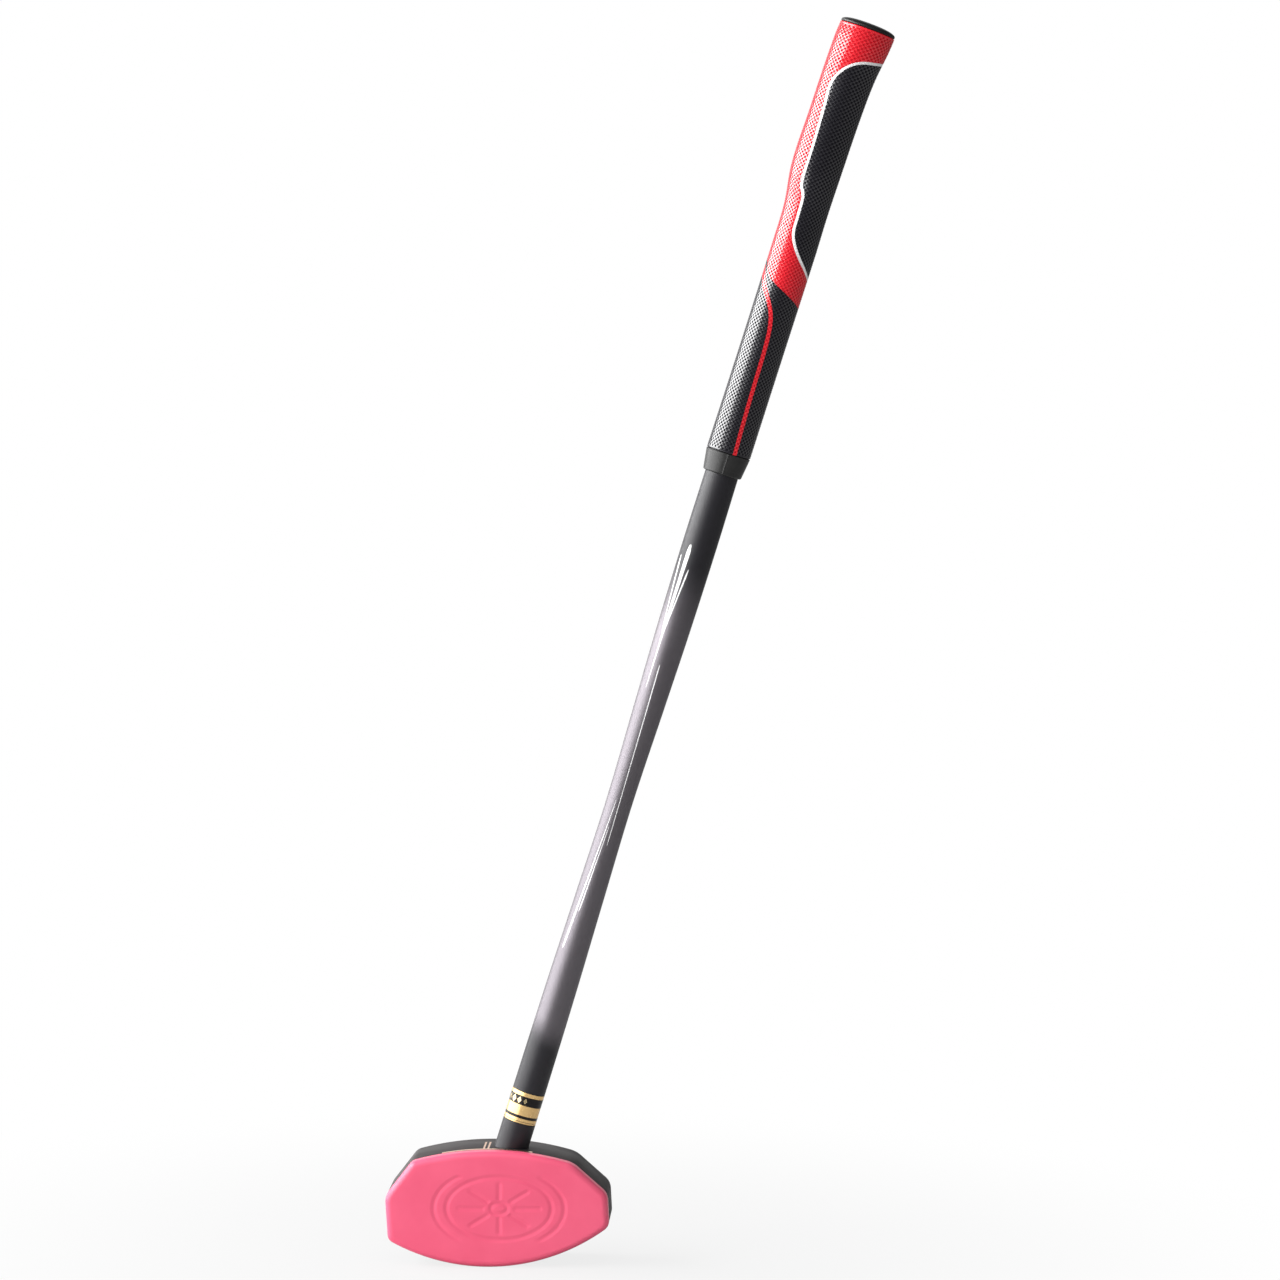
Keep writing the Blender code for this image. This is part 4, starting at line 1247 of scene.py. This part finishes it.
def build_lights():
    for name, (place, target, width, height, watts) in SOFTBOXES.items():
        data = bpy.data.lights.new(name, "AREA")
        data.shape = "RECTANGLE"
        data.size = width
        data.size_y = height
        data.energy = watts
        aim(new_object(name, data), place, target)


def seen_white(tree, behind):
    """1 for rays from the camera and through glass, and for reflections of what stands behind."""
    rays = add_node(tree, "ShaderNodeLightPath").outputs
    mirrored = times(tree, rays["Is Glossy Ray"], behind)
    return largest(tree, [rays["Is Camera Ray"], rays["Is Transmission Ray"], mirrored])


def build_world():
    """A soft fill. Reflections see a dim room with a white backdrop behind the club."""
    world = bpy.data.worlds.new("studio")
    bpy.context.scene.world = world
    world.use_nodes = True
    tree = world.node_tree
    tree.nodes.clear()
    direction = add_node(tree, "ShaderNodeTexCoord").outputs["Generated"]
    white = seen_white(tree, step(tree, dot(tree, direction, BACKDROP_WAY), *BACKDROP_SPREAD))
    mirrored = add_node(tree, "ShaderNodeLightPath").outputs["Is Glossy Ray"]
    level = step(tree, mirrored, 0.0, 1.0, FILL, ROOM)
    level = calculate(tree, "MULTIPLY_ADD", white, minus(tree, 1.0, level), level)
    light = add_node(tree, "ShaderNodeBackground", {}, {"Color": (1, 1, 1, 1), "Strength": level})
    add_node(tree, "ShaderNodeOutputWorld", {}, {0: light.outputs[0]})


def floor_material():
    """White to the camera, apart from the club's shadow, and grey to the light that it reflects."""
    material = bpy.data.materials.new("pale_floor")
    material.use_nodes = True
    tree = material.node_tree
    tree.nodes.clear()
    place = object_place(tree)
    away = add_node(tree, "ShaderNodeVectorMath", {"operation": "LENGTH"}, {0: place}).outputs["Value"]
    behind = step(tree, dot(tree, place, FLOOR_WAY), *FLOOR_BACK)
    lit = add_node(tree, "ShaderNodeBsdfDiffuse", {}, {"Color": (*FLOOR_COLOUR, 1)})
    white = add_node(tree, "ShaderNodeEmission", {}, {"Color": (1, 1, 1, 1), "Strength": 1.0})
    fade = times(tree, step(tree, away, *SHADOW_REACH, NEAR_WHITE, 1.0), seen_white(tree, behind))
    mix = add_node(tree, "ShaderNodeMixShader", {}, {0: fade, 1: lit.outputs[0], 2: white.outputs[0]})
    add_node(tree, "ShaderNodeOutputMaterial", {}, {0: mix.outputs[0]})
    return material


def build_floor():
    bm = bmesh.new()
    bmesh.ops.create_circle(bm, cap_ends=True, radius=FLOOR_RADIUS, segments=64)
    mesh = bpy.data.meshes.new("floor")
    bm.to_mesh(mesh)
    bm.free()
    mesh.materials.append(floor_material())
    floor = new_object("floor", mesh)


def build_camera():
    data = bpy.data.cameras.new("photo_camera")
    data.lens = CAMERA_LENS
    data.sensor_width = 36.0
    data.clip_end = 20.0
    camera = new_object("photo_camera", data)
    aim(camera, CAMERA_PLACE, CAMERA_TARGET)
    bpy.context.scene.camera = camera


build_camera()
build_world()
build_floor()
build_lights()
build_club()
bpy.context.scene.view_settings.view_transform = "Standard"
